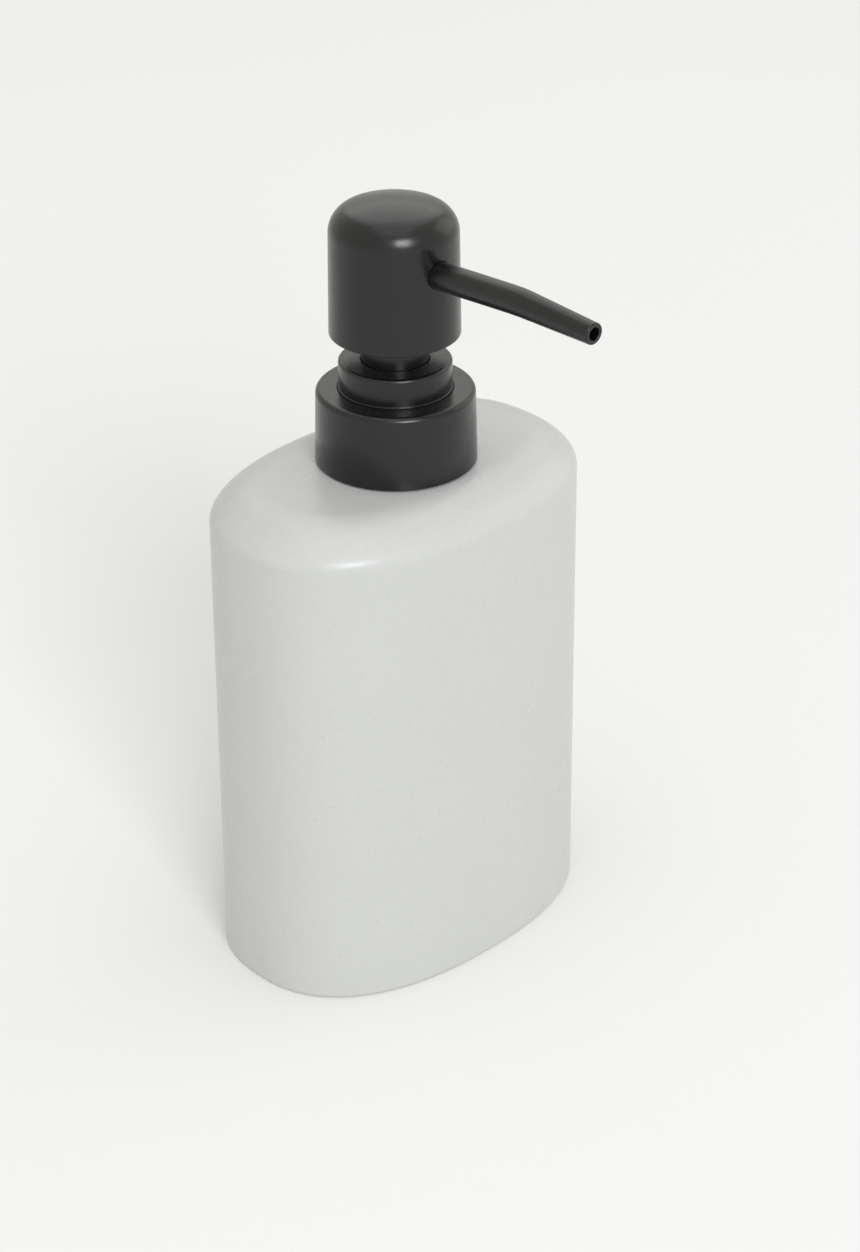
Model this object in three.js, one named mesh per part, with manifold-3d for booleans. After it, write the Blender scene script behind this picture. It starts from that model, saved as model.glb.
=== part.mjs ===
// A countertop soap pump dispenser: a glazed ceramic bottle with a screw-on lotion pump.
//
// Millimetres, +Z up. The origin is the centre of the bottle's flat base. X runs along the
// bottle's longer side, and the spout points along -Y at rest.
//
// The bottle carries a glued-in threaded neck. The pump hangs in that neck from its flange,
// under a screw cap that a smooth collar covers. Pressing the head slides its guide sleeve
// down inside the lock sleeve, and the stem pushes a rod and a sliding piston down the barrel
// against a spring. A ball under the barrel lets soap in from the dip tube.

import * as THREE from 'three';
import { mergeVertices } from 'three/addons/utils/BufferGeometryUtils.js';
import Module from 'manifold-3d';

const wasm = await Module();
wasm.setup();

// ---------------------------------------------------------------------------------------
// Clearances
const seatGap = 0.3; // between two faces that rest on or are fixed to each other
const slideGap = 0.3; // all round a piece that slides or turns inside another
const sealGap = 0.12; // all round the piston in its barrel
const endGap = 0.6; // left beyond the end of a stroke

// Ceramic bottle: a superellipse in plan, drafted, with a domed shoulder and a flat top
const bottleLength = 85.74; // along X, at the top of the side
const bottleWidth = 56.96; // along Y, at the top of the side
const bottleHeight = 112.05;
const bottleSquareness = 2.368; // exponent of the superellipse: 2 is an ellipse
const bottleFlare = 0.02; // how much larger the plan is at the base than at the top
const shoulderRadius = 12.8; // from the tight edge up to the flat top
const shoulderEdgeRadius = 4.0; // where the side turns over
const shoulderEdgeTurn = 35; // degrees that the tight edge turns through
const baseEdgeRadius = 1.0;
const ceramicWall = 4.5;
const ceramicFloor = 5.0;
const innerFootRadius = 4.0; // between the inner wall and the floor

// Threaded neck
const neckWall = 2.0;
const neckFlangeWidth = 2.0; // beyond the thread's root
const neckFlangeThickness = 1.2;
const insertStep = 0.5; // how much slimmer the glued tube is than the neck
const insertDepth = 6.3; // below the flange
const threadLead = 3.0; // rise for each turn, right-handed
const threadTurns = 1.5;
const threadDepth = 1.0;
const threadRootWidth = 1.3;
const threadCrestWidth = 0.7;
const threadSink = 0.4; // how far a ridge is rooted in its wall
const threadHeadroom = 1.05; // from the neck ridge's last centre line to the rim
const threadFootroom = 1.4; // from the neck flange to the cap ridge's first centre line
const threadFade = 1 / 6; // of a turn, over which a ridge rises at each end

// Screw cap and its collar cover
const capWall = 1.2;
const capPlate = 1.0;
const collarWall = 1.21; // at the collar's top
const collarTaper = 0.39; // how much wider the collar's foot is than its top, in radius
const collarPlate = 1.06;
const collarEdgeRadius = 1.2;

// Gasket, lock sleeve and step ring
const gasketThickness = 1.0;
const lockWall = 0.95;
const lockFlange = 0.8;
const lockFloor = 1.3;
const lockSpigotLength = 3.4; // the part of the lock sleeve that plugs into the step ring
const lockFlangeLip = 0.4; // how much narrower than the neck the flange is
const stepRadius = 11.8;
const stepHeight = 6.29; // above the collar
const stepWall = 1.5;
const stepPlate = 1.45;
const stepEdgeRadius = 0.7;

// Barrel, its valve and the dip tube
const barrelRadius = 6.6; // bore
const barrelWall = 1.1;
const barrelFlange = 1.0;
const neckClearance = 0.9; // between the barrel's upper part and the neck
const ballRadius = 2.5;
const ballSeatGap = 0.15; // between the ball and its conical seat
const ballLift = 1.1;
const ballRoom = 1.0; // round the ball in its chamber
const seatHoleRadius = 1.4;
const seatThickness = 1.0;
const cagePlate = 1.2;
const cageHoleRadius = 0.9;
const cageRim = 0.55; // between the cage's holes and its pilot ring
const cageHoles = 4;
const cagePilotHeight = 2.0;
const cagePilotWall = 0.8;
const tubeRadius = 2.8;
const tubeBore = 1.9;
const tubeSocketLength = 11.0;
const tubeSocketWall = 1.5;
const tubeEndHeight = 4.0; // from the bottle's inner floor to the tube's lowest point
const tubeCutAngle = 35; // degrees, the slope of the tube's lower end

// Spring
const springWire = 0.9; // diameter
const springCoils = 7.5;
const springDeadCoils = 1.0; // closed at each end
const springDeadPitch = 1.15; // from one dead coil to the next, in wire diameters
const springClearance = 1.25; // between the spring and the barrel
const springPressedLength = 12.5;

// Stem, rod and piston
const stemRadius = 3.4;
const stemBore = 2.0;
const stemStopClearance = 1.0; // between the stem's stop and the barrel
const stemStopThickness = 1.5;
const stemTail = 2.8; // below the stop
const rodRadius = 2.2;
const rodPinLength = 8.0;
const rodPinCore = 1.0; // radius between its fins
const rodFinThickness = 0.9;
const rodFlange = 1.0;
const rodFlangeClearance = 0.9; // between the rod's flange and the barrel
const rodPilotHeight = 2.4;
const pistonHeight = 4.2;
const pistonSlip = 1.2; // how far the piston slides on its rod
const pistonWaist = 0.9; // depth of the groove between its two lips
const pistonLip = 1.0;

// Head: a tapered cup with a domed top, and the core inside it
const guideRoom = 1.0; // between the stem's socket and the guide sleeve
const guideWall = 1.15;
const guideEngagement = 3.65; // how far the sleeve reaches into the step ring at rest
const headRise = 5.77; // from the step ring's top to the head's rim
const headAboveSpout = 12.89; // from the spout's centre line to the top of the head
const headClearance = 0.5; // between the head's inside and the step ring
const headWall = 1.31;
const headTaper = 0.32;
const headEdgeRadius = 5.84;
const headCrown = 0.98; // how much the middle of the top stands above its edge
const headCeiling = 2.4; // thickness of the top
const headParkedGap = 1.06; // between the head's rim and the collar when fully pressed
const rimEdgeRadius = 0.35;
const coreHubRadius = 8.0;
const coreFlange = 2.0;
const coreRoom = 3.87; // between the pressed head's core and the step ring
const coreTopGap = 4.96; // from the ceiling to the top of the core
const stemSocketWall = 1.2;
const stemSocketDepth = 8.5; // of the socket tube below the lower flange
const stemSeatRise = 2.8; // of the stem's top above the core's lower flange
const riserRadius = 1.6; // soap channel from the stem to the spout

// Spout: a straight tube that bends down a little and tapers to its tip
const spoutRootReach = 4.0; // from the head's axis to its inner end
const spoutBendReach = 35.66;
const spoutTipReach = 55.4;
const spoutSeatRise = 3.65; // of its centre line above the stem's top, at its inner end
const spoutBendRise = 1.66; // from its inner end to the bend
const spoutTipDrop = 0.68; // from the bend to the tip
const spoutBlend = 3.0; // length of each half of the bend
const spoutRootRadius = 2.95;
const spoutBendRadius = 2.84;
const spoutTipRadius = 2.22;
const spoutBore = 1.35;

// Fineness of the round shapes
const outlineSteps = 48; // round the bottle
const visibleSides = 36; // round the pump's outer pieces
const innerSides = 24; // round the pieces inside
const arcSteps = 2; // half the number of steps in a rounded edge
const threadSteps = 24; // for each turn of a thread
const coilSteps = 12; // for each turn of the spring
const wireSides = 6;
const spoutSides = 16;
const bendSteps = 4; // along the spout's bend
const tubeSides = 20; // round the dip tube
const drillSides = 12; // round the holes in the ball's cage
const ballSides = 16; // round the ball
const ballRows = 8; // from the ball's top to its bottom

// ---------------------------------------------------------------------------------------
// Radii, each fitted to the one inside it
const stemSocketBore = stemRadius + seatGap;
const stemSocketRadius = stemSocketBore + stemSocketWall;
const guideBore = stemSocketRadius + guideRoom;
const guideRadius = guideBore + guideWall;
const lockBore = guideRadius + slideGap;
const lockRadius = lockBore + lockWall;
const upperBore = lockRadius + slideGap;
const upperRadius = upperBore + barrelWall;
const neckBore = upperRadius + neckClearance;
const neckRadius = neckBore + neckWall;
const insertRadius = neckRadius - insertStep;
const mouthRadius = insertRadius + seatGap;
const neckCrest = neckRadius + threadDepth;
const capBore = neckCrest + slideGap;
const capCrest = neckRadius + slideGap;
const capRadius = capBore + capWall;
const collarBore = capRadius + seatGap;
const collarTopRadius = collarBore + collarWall;
const collarFootRadius = collarTopRadius + collarTaper;
const lockFlangeRadius = neckRadius - lockFlangeLip;
const stepBore = stepRadius - stepWall;
const lockSpigotRadius = stepBore - seatGap;
const capHole = lockSpigotRadius + slideGap;
const collarHole = stepRadius + slideGap;
const headBore = stepRadius + headClearance;
const headRadius = headBore + headWall;
const headTopRadius = headRadius - headTaper;
const coreFlangeRadius = headTopRadius - headWall - seatGap;
const tubeSocketBore = tubeRadius + seatGap;
const rodPinRadius = stemBore - seatGap;
const pistonBore = rodRadius + slideGap;
const pistonRadius = barrelRadius - sealGap;
const springOuter = barrelRadius - springClearance;
const springRadius = springOuter - springWire / 2;
const pilotRadius = springOuter - springWire - slideGap;
const pilotBore = pilotRadius - cagePilotWall;
const cageHoleCircle = pilotBore - cageRim - cageHoleRadius;
const ballChamberRadius = ballRadius + ballRoom;

// Heights above the bottle's top face, from the neck up to the head's rim
const neckBottom = seatGap;
const neckFlangeTop = neckBottom + neckFlangeThickness;
const threadRise = threadLead * threadTurns;
const capThreadStart = neckFlangeTop + threadFootroom;
const neckThreadStart = capThreadStart + threadLead / 2;
const neckTop = neckThreadStart + threadRise + threadHeadroom;
const gasketBottom = neckTop + seatGap;
const barrelFlangeBottom = gasketBottom + gasketThickness + seatGap;
const barrelTop = barrelFlangeBottom + barrelFlange;
const lockFlangeBottom = barrelTop + seatGap;
const lockFlangeTop = lockFlangeBottom + lockFlange;
const capPlateBottom = lockFlangeTop + seatGap;
const capTop = capPlateBottom + capPlate;
const collarTop = capTop + seatGap + collarPlate;
const stepBottom = capTop + seatGap;
const stepTop = collarTop + stepHeight;
const headRim = stepTop + headRise;
const pressStroke = headRim - collarTop - headParkedGap;

// Heights above the head's rim
const coreLowerFlange = stepHeight - headParkedGap + coreRoom;
const stemSeatHeight = coreLowerFlange + stemSeatRise;
const spoutRootHeight = stemSeatHeight + spoutSeatRise;
const spoutBendHeight = spoutRootHeight + spoutBendRise;
const spoutTipHeight = spoutBendHeight - spoutTipDrop;
const headHeight = spoutRootHeight + headAboveSpout;

// Heights above the bottle's top face, from the guide sleeve down to the dip tube
const guideBottom = stepTop - guideEngagement;
const lockFloorTop = guideBottom - pressStroke - endGap;
const lockBottom = lockFloorTop - lockFloor;
const upperFloor = lockBottom - seatGap;
const stemStopTop = lockBottom - seatGap;
const stemStopBottom = stemStopTop - stemStopThickness;
const stemBottom = stemStopBottom - stemTail;
const pistonTop = stemBottom - seatGap - pistonSlip;
const pistonBottom = pistonTop - pistonHeight;
const rodFlangeTop = pistonBottom - seatGap;
const rodFlangeBottom = rodFlangeTop - rodFlange;
const springTop = rodFlangeBottom - seatGap;
const springBottom = springTop - pressStroke - springPressedLength;
const cageTop = springBottom - seatGap;
const cageBottom = cageTop - cagePlate;
const barrelFloor = cageBottom - seatGap;
const ballCentre = cageBottom - seatGap - ballLift - ballRadius;
// The seat is a 45 degree cone, so the ball's centre lies sqrt(2) radii above its apex.
const seatApex = ballCentre - Math.SQRT2 * (ballRadius + ballSeatGap);
const seatHoleTop = seatApex + seatHoleRadius;
const seatTop = seatApex + ballChamberRadius;
const socketTop = seatHoleTop - seatThickness;
const socketBottom = socketTop - tubeSocketLength;
const tubeTop = socketTop - seatGap;
const tubeBottom = ceramicFloor + tubeEndHeight - bottleHeight;

// ---------------------------------------------------------------------------------------
// Materials
const ceramicGlaze = { color: 0xcfcfcc, roughness: 0.42, metalness: 0 };
const blackPlastic = { color: 0x2b2b2b, roughness: 0.45, metalness: 0 };
const naturalPlastic = { color: 0xe6e6e2, roughness: 0.5, metalness: 0 };
const clearTube = { color: 0xdfe6e8, roughness: 0.3, metalness: 0 };
const softSeal = { color: 0xf2f2ee, roughness: 0.7, metalness: 0 };
const springSteel = { color: 0xb9bcc0, roughness: 0.25, metalness: 1 };

// ---------------------------------------------------------------------------------------
// Making closed bodies

/** Keeps only positions, shares equal corners, drops empty triangles, faces outwards. */
function closedBody(geometry) {
  geometry.deleteAttribute('normal');
  geometry.deleteAttribute('uv');
  const merged = mergeVertices(geometry, 1e-4);
  const source = merged.index.array;
  const position = merged.getAttribute('position');
  const a = new THREE.Vector3();
  const b = new THREE.Vector3();
  const c = new THREE.Vector3();
  const kept = [];
  let volume = 0;
  for (let i = 0; i < source.length; i += 3) {
    const [p, q, r] = [source[i], source[i + 1], source[i + 2]];
    if (p === q || q === r || r === p) continue;
    kept.push(p, q, r);
    a.fromBufferAttribute(position, p);
    b.fromBufferAttribute(position, q);
    c.fromBufferAttribute(position, r);
    volume += a.dot(b.cross(c));
  }
  if (volume < 0) kept.reverse();
  merged.setIndex(kept);
  return merged;
}

function toManifold(geometry) {
  const body = closedBody(geometry.clone());
  const vertProperties = new Float32Array(body.getAttribute('position').array);
  const triVerts = new Uint32Array(body.index.array);
  return new wasm.Manifold(new wasm.Mesh({ numProp: 3, vertProperties, triVerts }));
}

function fromManifold(solid) {
  const mesh = solid.getMesh();
  const geometry = new THREE.BufferGeometry();
  geometry.setAttribute('position', new THREE.BufferAttribute(mesh.vertProperties, 3));
  geometry.setIndex(new THREE.BufferAttribute(mesh.triVerts, 1));
  return geometry;
}

function cut(geometry, ...tools) {
  let solid = toManifold(geometry);
  for (const tool of tools) solid = solid.subtract(toManifold(tool));
  return fromManifold(solid);
}

function join(geometry, ...others) {
  let solid = toManifold(geometry);
  for (const other of others) solid = solid.add(toManifold(other));
  return fromManifold(solid);
}

/** Turns a path or a list of [radius, height] about the Z axis. */
function revolve(profile, sides) {
  const listed = Array.isArray(profile);
  const points = listed
    ? profile.map(([radius, height]) => new THREE.Vector2(radius, height))
    : profile.getPoints(arcSteps);
  return closedBody(new THREE.LatheGeometry(points, sides).rotateX(Math.PI / 2));
}

/** A plain tube standing on its bottom, between two heights. */
function tube(bore, radius, bottom, top, sides) {
  const profile = [[bore, bottom], [radius, bottom], [radius, top], [bore, top], [bore, bottom]];
  return revolve(profile, sides);
}

/**
 * Skins a row of rings, each a list of as many points. Open rows are closed by a fan at each
 * end, and a row that returns to its start makes a ring-shaped body.
 */
function skin(rings, returns) {
  const count = rings[0].length;
  const vertices = rings.flat().flatMap((point) => [point.x, point.y, point.z]);
  const triangles = [];
  const rows = returns ? rings.length : rings.length - 1;
  for (let i = 0; i < rows; i++) {
    const low = i * count;
    const high = ((i + 1) % rings.length) * count;
    for (let j = 0; j < count; j++) {
      const k = (j + 1) % count;
      triangles.push(low + j, low + k, high + k, low + j, high + k, high + j);
    }
  }
  if (!returns) {
    for (const [ring, first] of [[rings[0], 0], [rings.at(-1), (rings.length - 1) * count]]) {
      const centre = new THREE.Vector3();
      for (const point of ring) centre.addScaledVector(point, 1 / count);
      const hub = vertices.length / 3;
      vertices.push(centre.x, centre.y, centre.z);
      for (let j = 0; j < count; j++) {
        const k = (j + 1) % count;
        if (first === 0) triangles.push(hub, first + k, first + j);
        else triangles.push(hub, first + j, first + k);
      }
    }
  }
  const geometry = new THREE.BufferGeometry();
  geometry.setAttribute('position', new THREE.Float32BufferAttribute(vertices, 3));
  geometry.setIndex(triangles);
  return closedBody(geometry);
}

// ---------------------------------------------------------------------------------------
// Ceramic bottle

/** A plan ring of the bottle: the superellipse, drafted at this height and moved inwards. */
function bottleRing(inset, height) {
  const power = 2 / bottleSquareness;
  const scale = 1 + bottleFlare * (1 - height / bottleHeight);
  const a = (bottleLength / 2) * scale;
  const b = (bottleWidth / 2) * scale;
  const ring = [];
  for (let i = 0; i < outlineSteps; i++) {
    const turn = (2 * Math.PI * i) / outlineSteps;
    const c = Math.cos(turn);
    const s = Math.sin(turn);
    const edge = new THREE.Vector2(
      a * Math.sign(c) * Math.abs(c) ** power,
      b * Math.sign(s) * Math.abs(s) ** power,
    );
    const normal = new THREE.Vector2(
      (Math.sign(c) * Math.abs(c) ** (2 - power)) / a,
      (Math.sign(s) * Math.abs(s) ** (2 - power)) / b,
    ).normalize();
    edge.addScaledVector(normal, -inset);
    ring.push(new THREE.Vector3(edge.x, edge.y, height));
  }
  return ring;
}

function roundRing(radius, height) {
  const ring = [];
  for (let i = 0; i < outlineSteps; i++) {
    const turn = (2 * Math.PI * i) / outlineSteps;
    ring.push(new THREE.Vector3(radius * Math.cos(turn), radius * Math.sin(turn), height));
  }
  return ring;
}

/** Bottle rings along a rounded edge, from one direction of its arc to another. */
function bottleArc(centreInset, centreHeight, radius, startTurn, endTurn, steps) {
  const rings = [];
  for (let i = 0; i <= steps; i++) {
    const turn = startTurn + ((endTurn - startTurn) * i) / steps;
    const inset = centreInset - radius * Math.cos(turn);
    rings.push(bottleRing(inset, centreHeight + radius * Math.sin(turn)));
  }
  return rings;
}

/** Two arcs make the shoulder, and share their direction where they meet. */
function ceramicBottle() {
  const quarter = Math.PI / 2;
  const innerTop = bottleHeight - ceramicWall;
  const edgeTurn = THREE.MathUtils.degToRad(shoulderEdgeTurn);
  const shoulderShift = shoulderRadius - shoulderEdgeRadius;
  const shoulderInset = shoulderEdgeRadius + shoulderShift * Math.cos(edgeTurn);
  const shoulderHeight = bottleHeight - shoulderRadius;
  const edgeHeight = shoulderHeight + shoulderShift * Math.sin(edgeTurn);
  const innerShoulder = shoulderRadius - ceramicWall;
  const innerTurn = Math.acos((shoulderInset - ceramicWall) / innerShoulder);
  const shoulderSteps = 2 * arcSteps;
  const footInset = ceramicWall + innerFootRadius;
  const footHeight = ceramicFloor + innerFootRadius;
  const rings = [
    ...bottleArc(baseEdgeRadius, baseEdgeRadius, baseEdgeRadius, -quarter, 0, arcSteps),
    ...bottleArc(shoulderEdgeRadius, edgeHeight, shoulderEdgeRadius, 0, edgeTurn, arcSteps),
    ...bottleArc(shoulderInset, shoulderHeight, shoulderRadius,
      edgeTurn, quarter, shoulderSteps).slice(1),
    roundRing(mouthRadius, bottleHeight),
    roundRing(mouthRadius, innerTop),
    ...bottleArc(shoulderInset, shoulderHeight, innerShoulder,
      quarter, innerTurn, shoulderSteps),
    ...bottleArc(footInset, footHeight, innerFootRadius, 0, -quarter, arcSteps),
  ];
  return skin(rings, false);
}

// ---------------------------------------------------------------------------------------
// Threaded neck, screw cap and collar

/** A right-handed thread ridge that rises from its wall at both ends. */
function threadRidge(wallRadius, crestRadius, startHeight) {
  const steps = Math.round(threadTurns * threadSteps);
  const fadeSteps = threadSteps * threadFade;
  const outwards = Math.sign(crestRadius - wallRadius);
  const rootRadius = wallRadius - outwards * threadSink;
  const rings = [];
  for (let i = 0; i <= steps; i++) {
    const turn = (2 * Math.PI * i) / threadSteps;
    const height = startHeight + (threadLead * i) / threadSteps;
    const fade = Math.min(1, (i + 1) / fadeSteps, (steps - i + 1) / fadeSteps);
    const crest = wallRadius + (crestRadius - wallRadius) * fade;
    const corners = [
      [rootRadius, -threadRootWidth / 2],
      [crest, -threadCrestWidth / 2],
      [crest, threadCrestWidth / 2],
      [rootRadius, threadRootWidth / 2],
    ];
    rings.push(corners.map(([radius, rise]) => new THREE.Vector3(
      radius * Math.cos(turn), radius * Math.sin(turn), height + rise,
    )));
  }
  return skin(rings, false);
}

function neckInsert() {
  const flangeRadius = neckRadius + neckFlangeWidth;
  const body = revolve([
    [neckBore, neckBottom - insertDepth],
    [insertRadius, neckBottom - insertDepth],
    [insertRadius, neckBottom],
    [flangeRadius, neckBottom],
    [flangeRadius, neckFlangeTop],
    [neckRadius, neckFlangeTop],
    [neckRadius, neckTop],
    [neckBore, neckTop],
    [neckBore, neckBottom - insertDepth],
  ], visibleSides);
  return join(body, threadRidge(neckRadius, neckCrest, neckThreadStart));
}

function screwCap() {
  const skirtBottom = neckFlangeTop + seatGap;
  const body = revolve([
    [capBore, skirtBottom],
    [capRadius, skirtBottom],
    [capRadius, capTop],
    [capHole, capTop],
    [capHole, capPlateBottom],
    [capBore, capPlateBottom],
    [capBore, skirtBottom],
  ], visibleSides);
  return join(body, threadRidge(capBore, capCrest, capThreadStart));
}

function collarCover() {
  const inner = collarTop - collarPlate;
  const profile = new THREE.Path();
  profile.moveTo(collarBore, neckBottom);
  profile.lineTo(collarFootRadius, neckBottom);
  profile.lineTo(collarTopRadius, collarTop - collarEdgeRadius);
  profile.absarc(collarTopRadius - collarEdgeRadius, collarTop - collarEdgeRadius,
    collarEdgeRadius, 0, Math.PI / 2, false);
  profile.lineTo(collarHole, collarTop);
  profile.lineTo(collarHole, inner);
  profile.lineTo(collarBore, inner);
  profile.lineTo(collarBore, neckBottom);
  return revolve(profile, visibleSides);
}

// ---------------------------------------------------------------------------------------
// Fixed pieces of the pump

function neckGasket() {
  const top = gasketBottom + gasketThickness;
  return tube(upperRadius + slideGap, neckRadius, gasketBottom, top, innerSides);
}

/** Guides the head's sleeve, and its floor stops the stem from coming out. */
function lockSleeve() {
  const spigotTop = stepBottom + lockSpigotLength;
  const sleeveTop = stepTop - stepPlate - seatGap;
  return revolve([
    [stemRadius + slideGap, lockBottom],
    [lockRadius, lockBottom],
    [lockRadius, lockFlangeBottom],
    [lockFlangeRadius, lockFlangeBottom],
    [lockFlangeRadius, lockFlangeTop],
    [lockSpigotRadius, lockFlangeTop],
    [lockSpigotRadius, spigotTop],
    [lockRadius, spigotTop],
    [lockRadius, sleeveTop],
    [lockBore, sleeveTop],
    [lockBore, lockFloorTop],
    [stemRadius + slideGap, lockFloorTop],
    [stemRadius + slideGap, lockBottom],
  ], innerSides);
}

function stepRing() {
  const profile = new THREE.Path();
  profile.moveTo(stepBore, stepBottom);
  profile.lineTo(stepRadius, stepBottom);
  profile.lineTo(stepRadius, stepTop - stepEdgeRadius);
  profile.absarc(stepRadius - stepEdgeRadius, stepTop - stepEdgeRadius,
    stepEdgeRadius, 0, Math.PI / 2, false);
  profile.lineTo(lockBore, stepTop);
  profile.lineTo(lockBore, stepTop - stepPlate);
  profile.lineTo(stepBore, stepTop - stepPlate);
  profile.lineTo(stepBore, stepBottom);
  return revolve(profile, visibleSides);
}

function pumpCylinder() {
  const barrelOuter = barrelRadius + barrelWall;
  const socketOuter = tubeSocketBore + tubeSocketWall;
  const chamberOuter = ballChamberRadius + barrelWall;
  const shoulder = upperFloor - barrelWall;
  return revolve([
    [tubeSocketBore, socketBottom],
    [socketOuter, socketBottom],
    [socketOuter, socketTop],
    [chamberOuter, seatTop],
    [barrelOuter, barrelFloor - barrelWall],
    [barrelOuter, shoulder],
    [upperRadius, shoulder],
    [upperRadius, barrelFlangeBottom],
    [neckRadius, barrelFlangeBottom],
    [neckRadius, barrelTop],
    [upperBore, barrelTop],
    [upperBore, upperFloor],
    [barrelRadius, upperFloor],
    [barrelRadius, barrelFloor],
    [ballChamberRadius, barrelFloor],
    [ballChamberRadius, seatTop],
    [seatHoleRadius, seatHoleTop],
    [seatHoleRadius, socketTop],
    [tubeSocketBore, socketTop],
    [tubeSocketBore, socketBottom],
  ], innerSides);
}

/** Seats the spring and keeps the ball in its chamber; soap passes through its holes. */
function ballCage() {
  const plateRadius = barrelRadius - seatGap;
  const pilotTop = cageTop + cagePilotHeight;
  const body = revolve([
    [0, cageBottom],
    [plateRadius, cageBottom],
    [plateRadius, cageTop],
    [pilotRadius, cageTop],
    [pilotRadius, pilotTop],
    [pilotBore, pilotTop],
    [pilotBore, cageTop],
    [0, cageTop],
  ], innerSides);
  const drills = [];
  for (let i = 0; i < cageHoles; i++) {
    const turn = (2 * Math.PI * (i + 0.5)) / cageHoles;
    const x = cageHoleCircle * Math.cos(turn);
    const y = cageHoleCircle * Math.sin(turn);
    const length = 2 * cagePlate;
    const drill = new THREE.CylinderGeometry(cageHoleRadius, cageHoleRadius, length, drillSides);
    drills.push(drill.rotateX(Math.PI / 2).translate(x, y, cageBottom + cagePlate / 2));
  }
  return cut(body, ...drills);
}

function inletBall() {
  return closedBody(new THREE.SphereGeometry(ballRadius, ballSides, ballRows).rotateX(Math.PI / 2));
}

/** The dip tube, with its lower end cut on a slope so that the floor can't seal it. */
function dipTube() {
  const body = tube(tubeBore, tubeRadius, tubeBottom, tubeTop, tubeSides);
  const slope = THREE.MathUtils.degToRad(tubeCutAngle);
  const size = 8 * tubeRadius; // well past the tube on every side
  const knife = new THREE.BoxGeometry(size, size, size);
  knife.translate(0, 0, -size / 2);
  knife.rotateY(slope);
  knife.translate(0, 0, tubeBottom + tubeRadius * Math.tan(slope));
  return cut(body, knife);
}

/** A round-wire spring whose end coils lie closed against each other. */
function returnSpring() {
  const turns = springCoils;
  const steps = Math.round(turns * coilSteps);
  const length = springTop - springBottom - springWire;
  const closedRise = springWire * springDeadCoils * springDeadPitch;
  const wireRadius = springWire / 2;
  const rings = [];
  for (let i = 0; i <= steps; i++) {
    const coil = i / coilSteps;
    const turn = 2 * Math.PI * coil;
    const fromTop = turns - coil;
    let rise = closedRise
      + ((length - 2 * closedRise) * (coil - springDeadCoils)) / (turns - 2 * springDeadCoils);
    if (coil < springDeadCoils) rise = (closedRise * coil) / springDeadCoils;
    if (fromTop < springDeadCoils) rise = length - (closedRise * fromTop) / springDeadCoils;
    const height = springBottom + wireRadius + rise;
    const ring = [];
    for (let j = 0; j < wireSides; j++) {
      const around = (2 * Math.PI * (j + 0.5)) / wireSides;
      const radius = springRadius + wireRadius * Math.cos(around);
      ring.push(new THREE.Vector3(
        radius * Math.cos(turn), radius * Math.sin(turn), height + wireRadius * Math.sin(around),
      ));
    }
    rings.push(ring);
  }
  return skin(rings, false);
}

// ---------------------------------------------------------------------------------------
// Moving pieces of the pump

function stem() {
  const top = headRim + stemSeatHeight;
  const stemStopRadius = barrelRadius - stemStopClearance;
  return revolve([
    [stemBore, stemBottom],
    [stemRadius, stemBottom],
    [stemRadius, stemStopBottom],
    [stemStopRadius, stemStopBottom],
    [stemStopRadius, stemStopTop],
    [stemRadius, stemStopTop],
    [stemRadius, top],
    [stemBore, top],
    [stemBore, stemBottom],
  ], innerSides);
}

/** The rod under the stem: a finned pin, a plain rod, the spring's seat and its pilot. */
function pistonRod() {
  const pinBottom = stemBottom - seatGap;
  const pinTop = stemBottom + rodPinLength;
  const rodFlangeRadius = barrelRadius - rodFlangeClearance;
  const body = revolve([
    [0, rodFlangeBottom - rodPilotHeight],
    [pilotRadius, rodFlangeBottom - rodPilotHeight],
    [pilotRadius, rodFlangeBottom],
    [rodFlangeRadius, rodFlangeBottom],
    [rodFlangeRadius, rodFlangeTop],
    [rodRadius, rodFlangeTop],
    [rodRadius, pinBottom],
    [rodPinCore, pinBottom],
    [rodPinCore, pinTop],
    [0, pinTop],
  ], innerSides);
  const finLength = pinTop - pinBottom + seatGap;
  const fins = [0, 1].map((quarter) => {
    const fin = new THREE.BoxGeometry(2 * rodPinRadius, rodFinThickness, finLength);
    fin.rotateZ((quarter * Math.PI) / 2);
    fin.translate(0, 0, pinTop - finLength / 2);
    return fin;
  });
  return join(body, ...fins);
}

function piston() {
  const waist = pistonRadius - pistonWaist;
  return revolve([
    [pistonBore, pistonBottom],
    [pistonRadius, pistonBottom],
    [pistonRadius, pistonBottom + pistonLip],
    [waist, pistonBottom + pistonLip + pistonWaist / 2],
    [waist, pistonTop - pistonLip - pistonWaist / 2],
    [pistonRadius, pistonTop - pistonLip],
    [pistonRadius, pistonTop],
    [pistonBore, pistonTop],
    [pistonBore, pistonBottom],
  ], innerSides);
}

/** The spout's centre line above the head's rim: straight, a short bend, straight. */
function spoutPath() {
  const root = new THREE.Vector3(0, -spoutRootReach, spoutRootHeight);
  const bend = new THREE.Vector3(0, -spoutBendReach, spoutBendHeight);
  const tip = new THREE.Vector3(0, -spoutTipReach, spoutTipHeight);
  const before = bend.clone().add(root.clone().sub(bend).setLength(spoutBlend));
  const after = bend.clone().add(tip.clone().sub(bend).setLength(spoutBlend));
  return { root, bend, tip, before, after };
}

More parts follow.
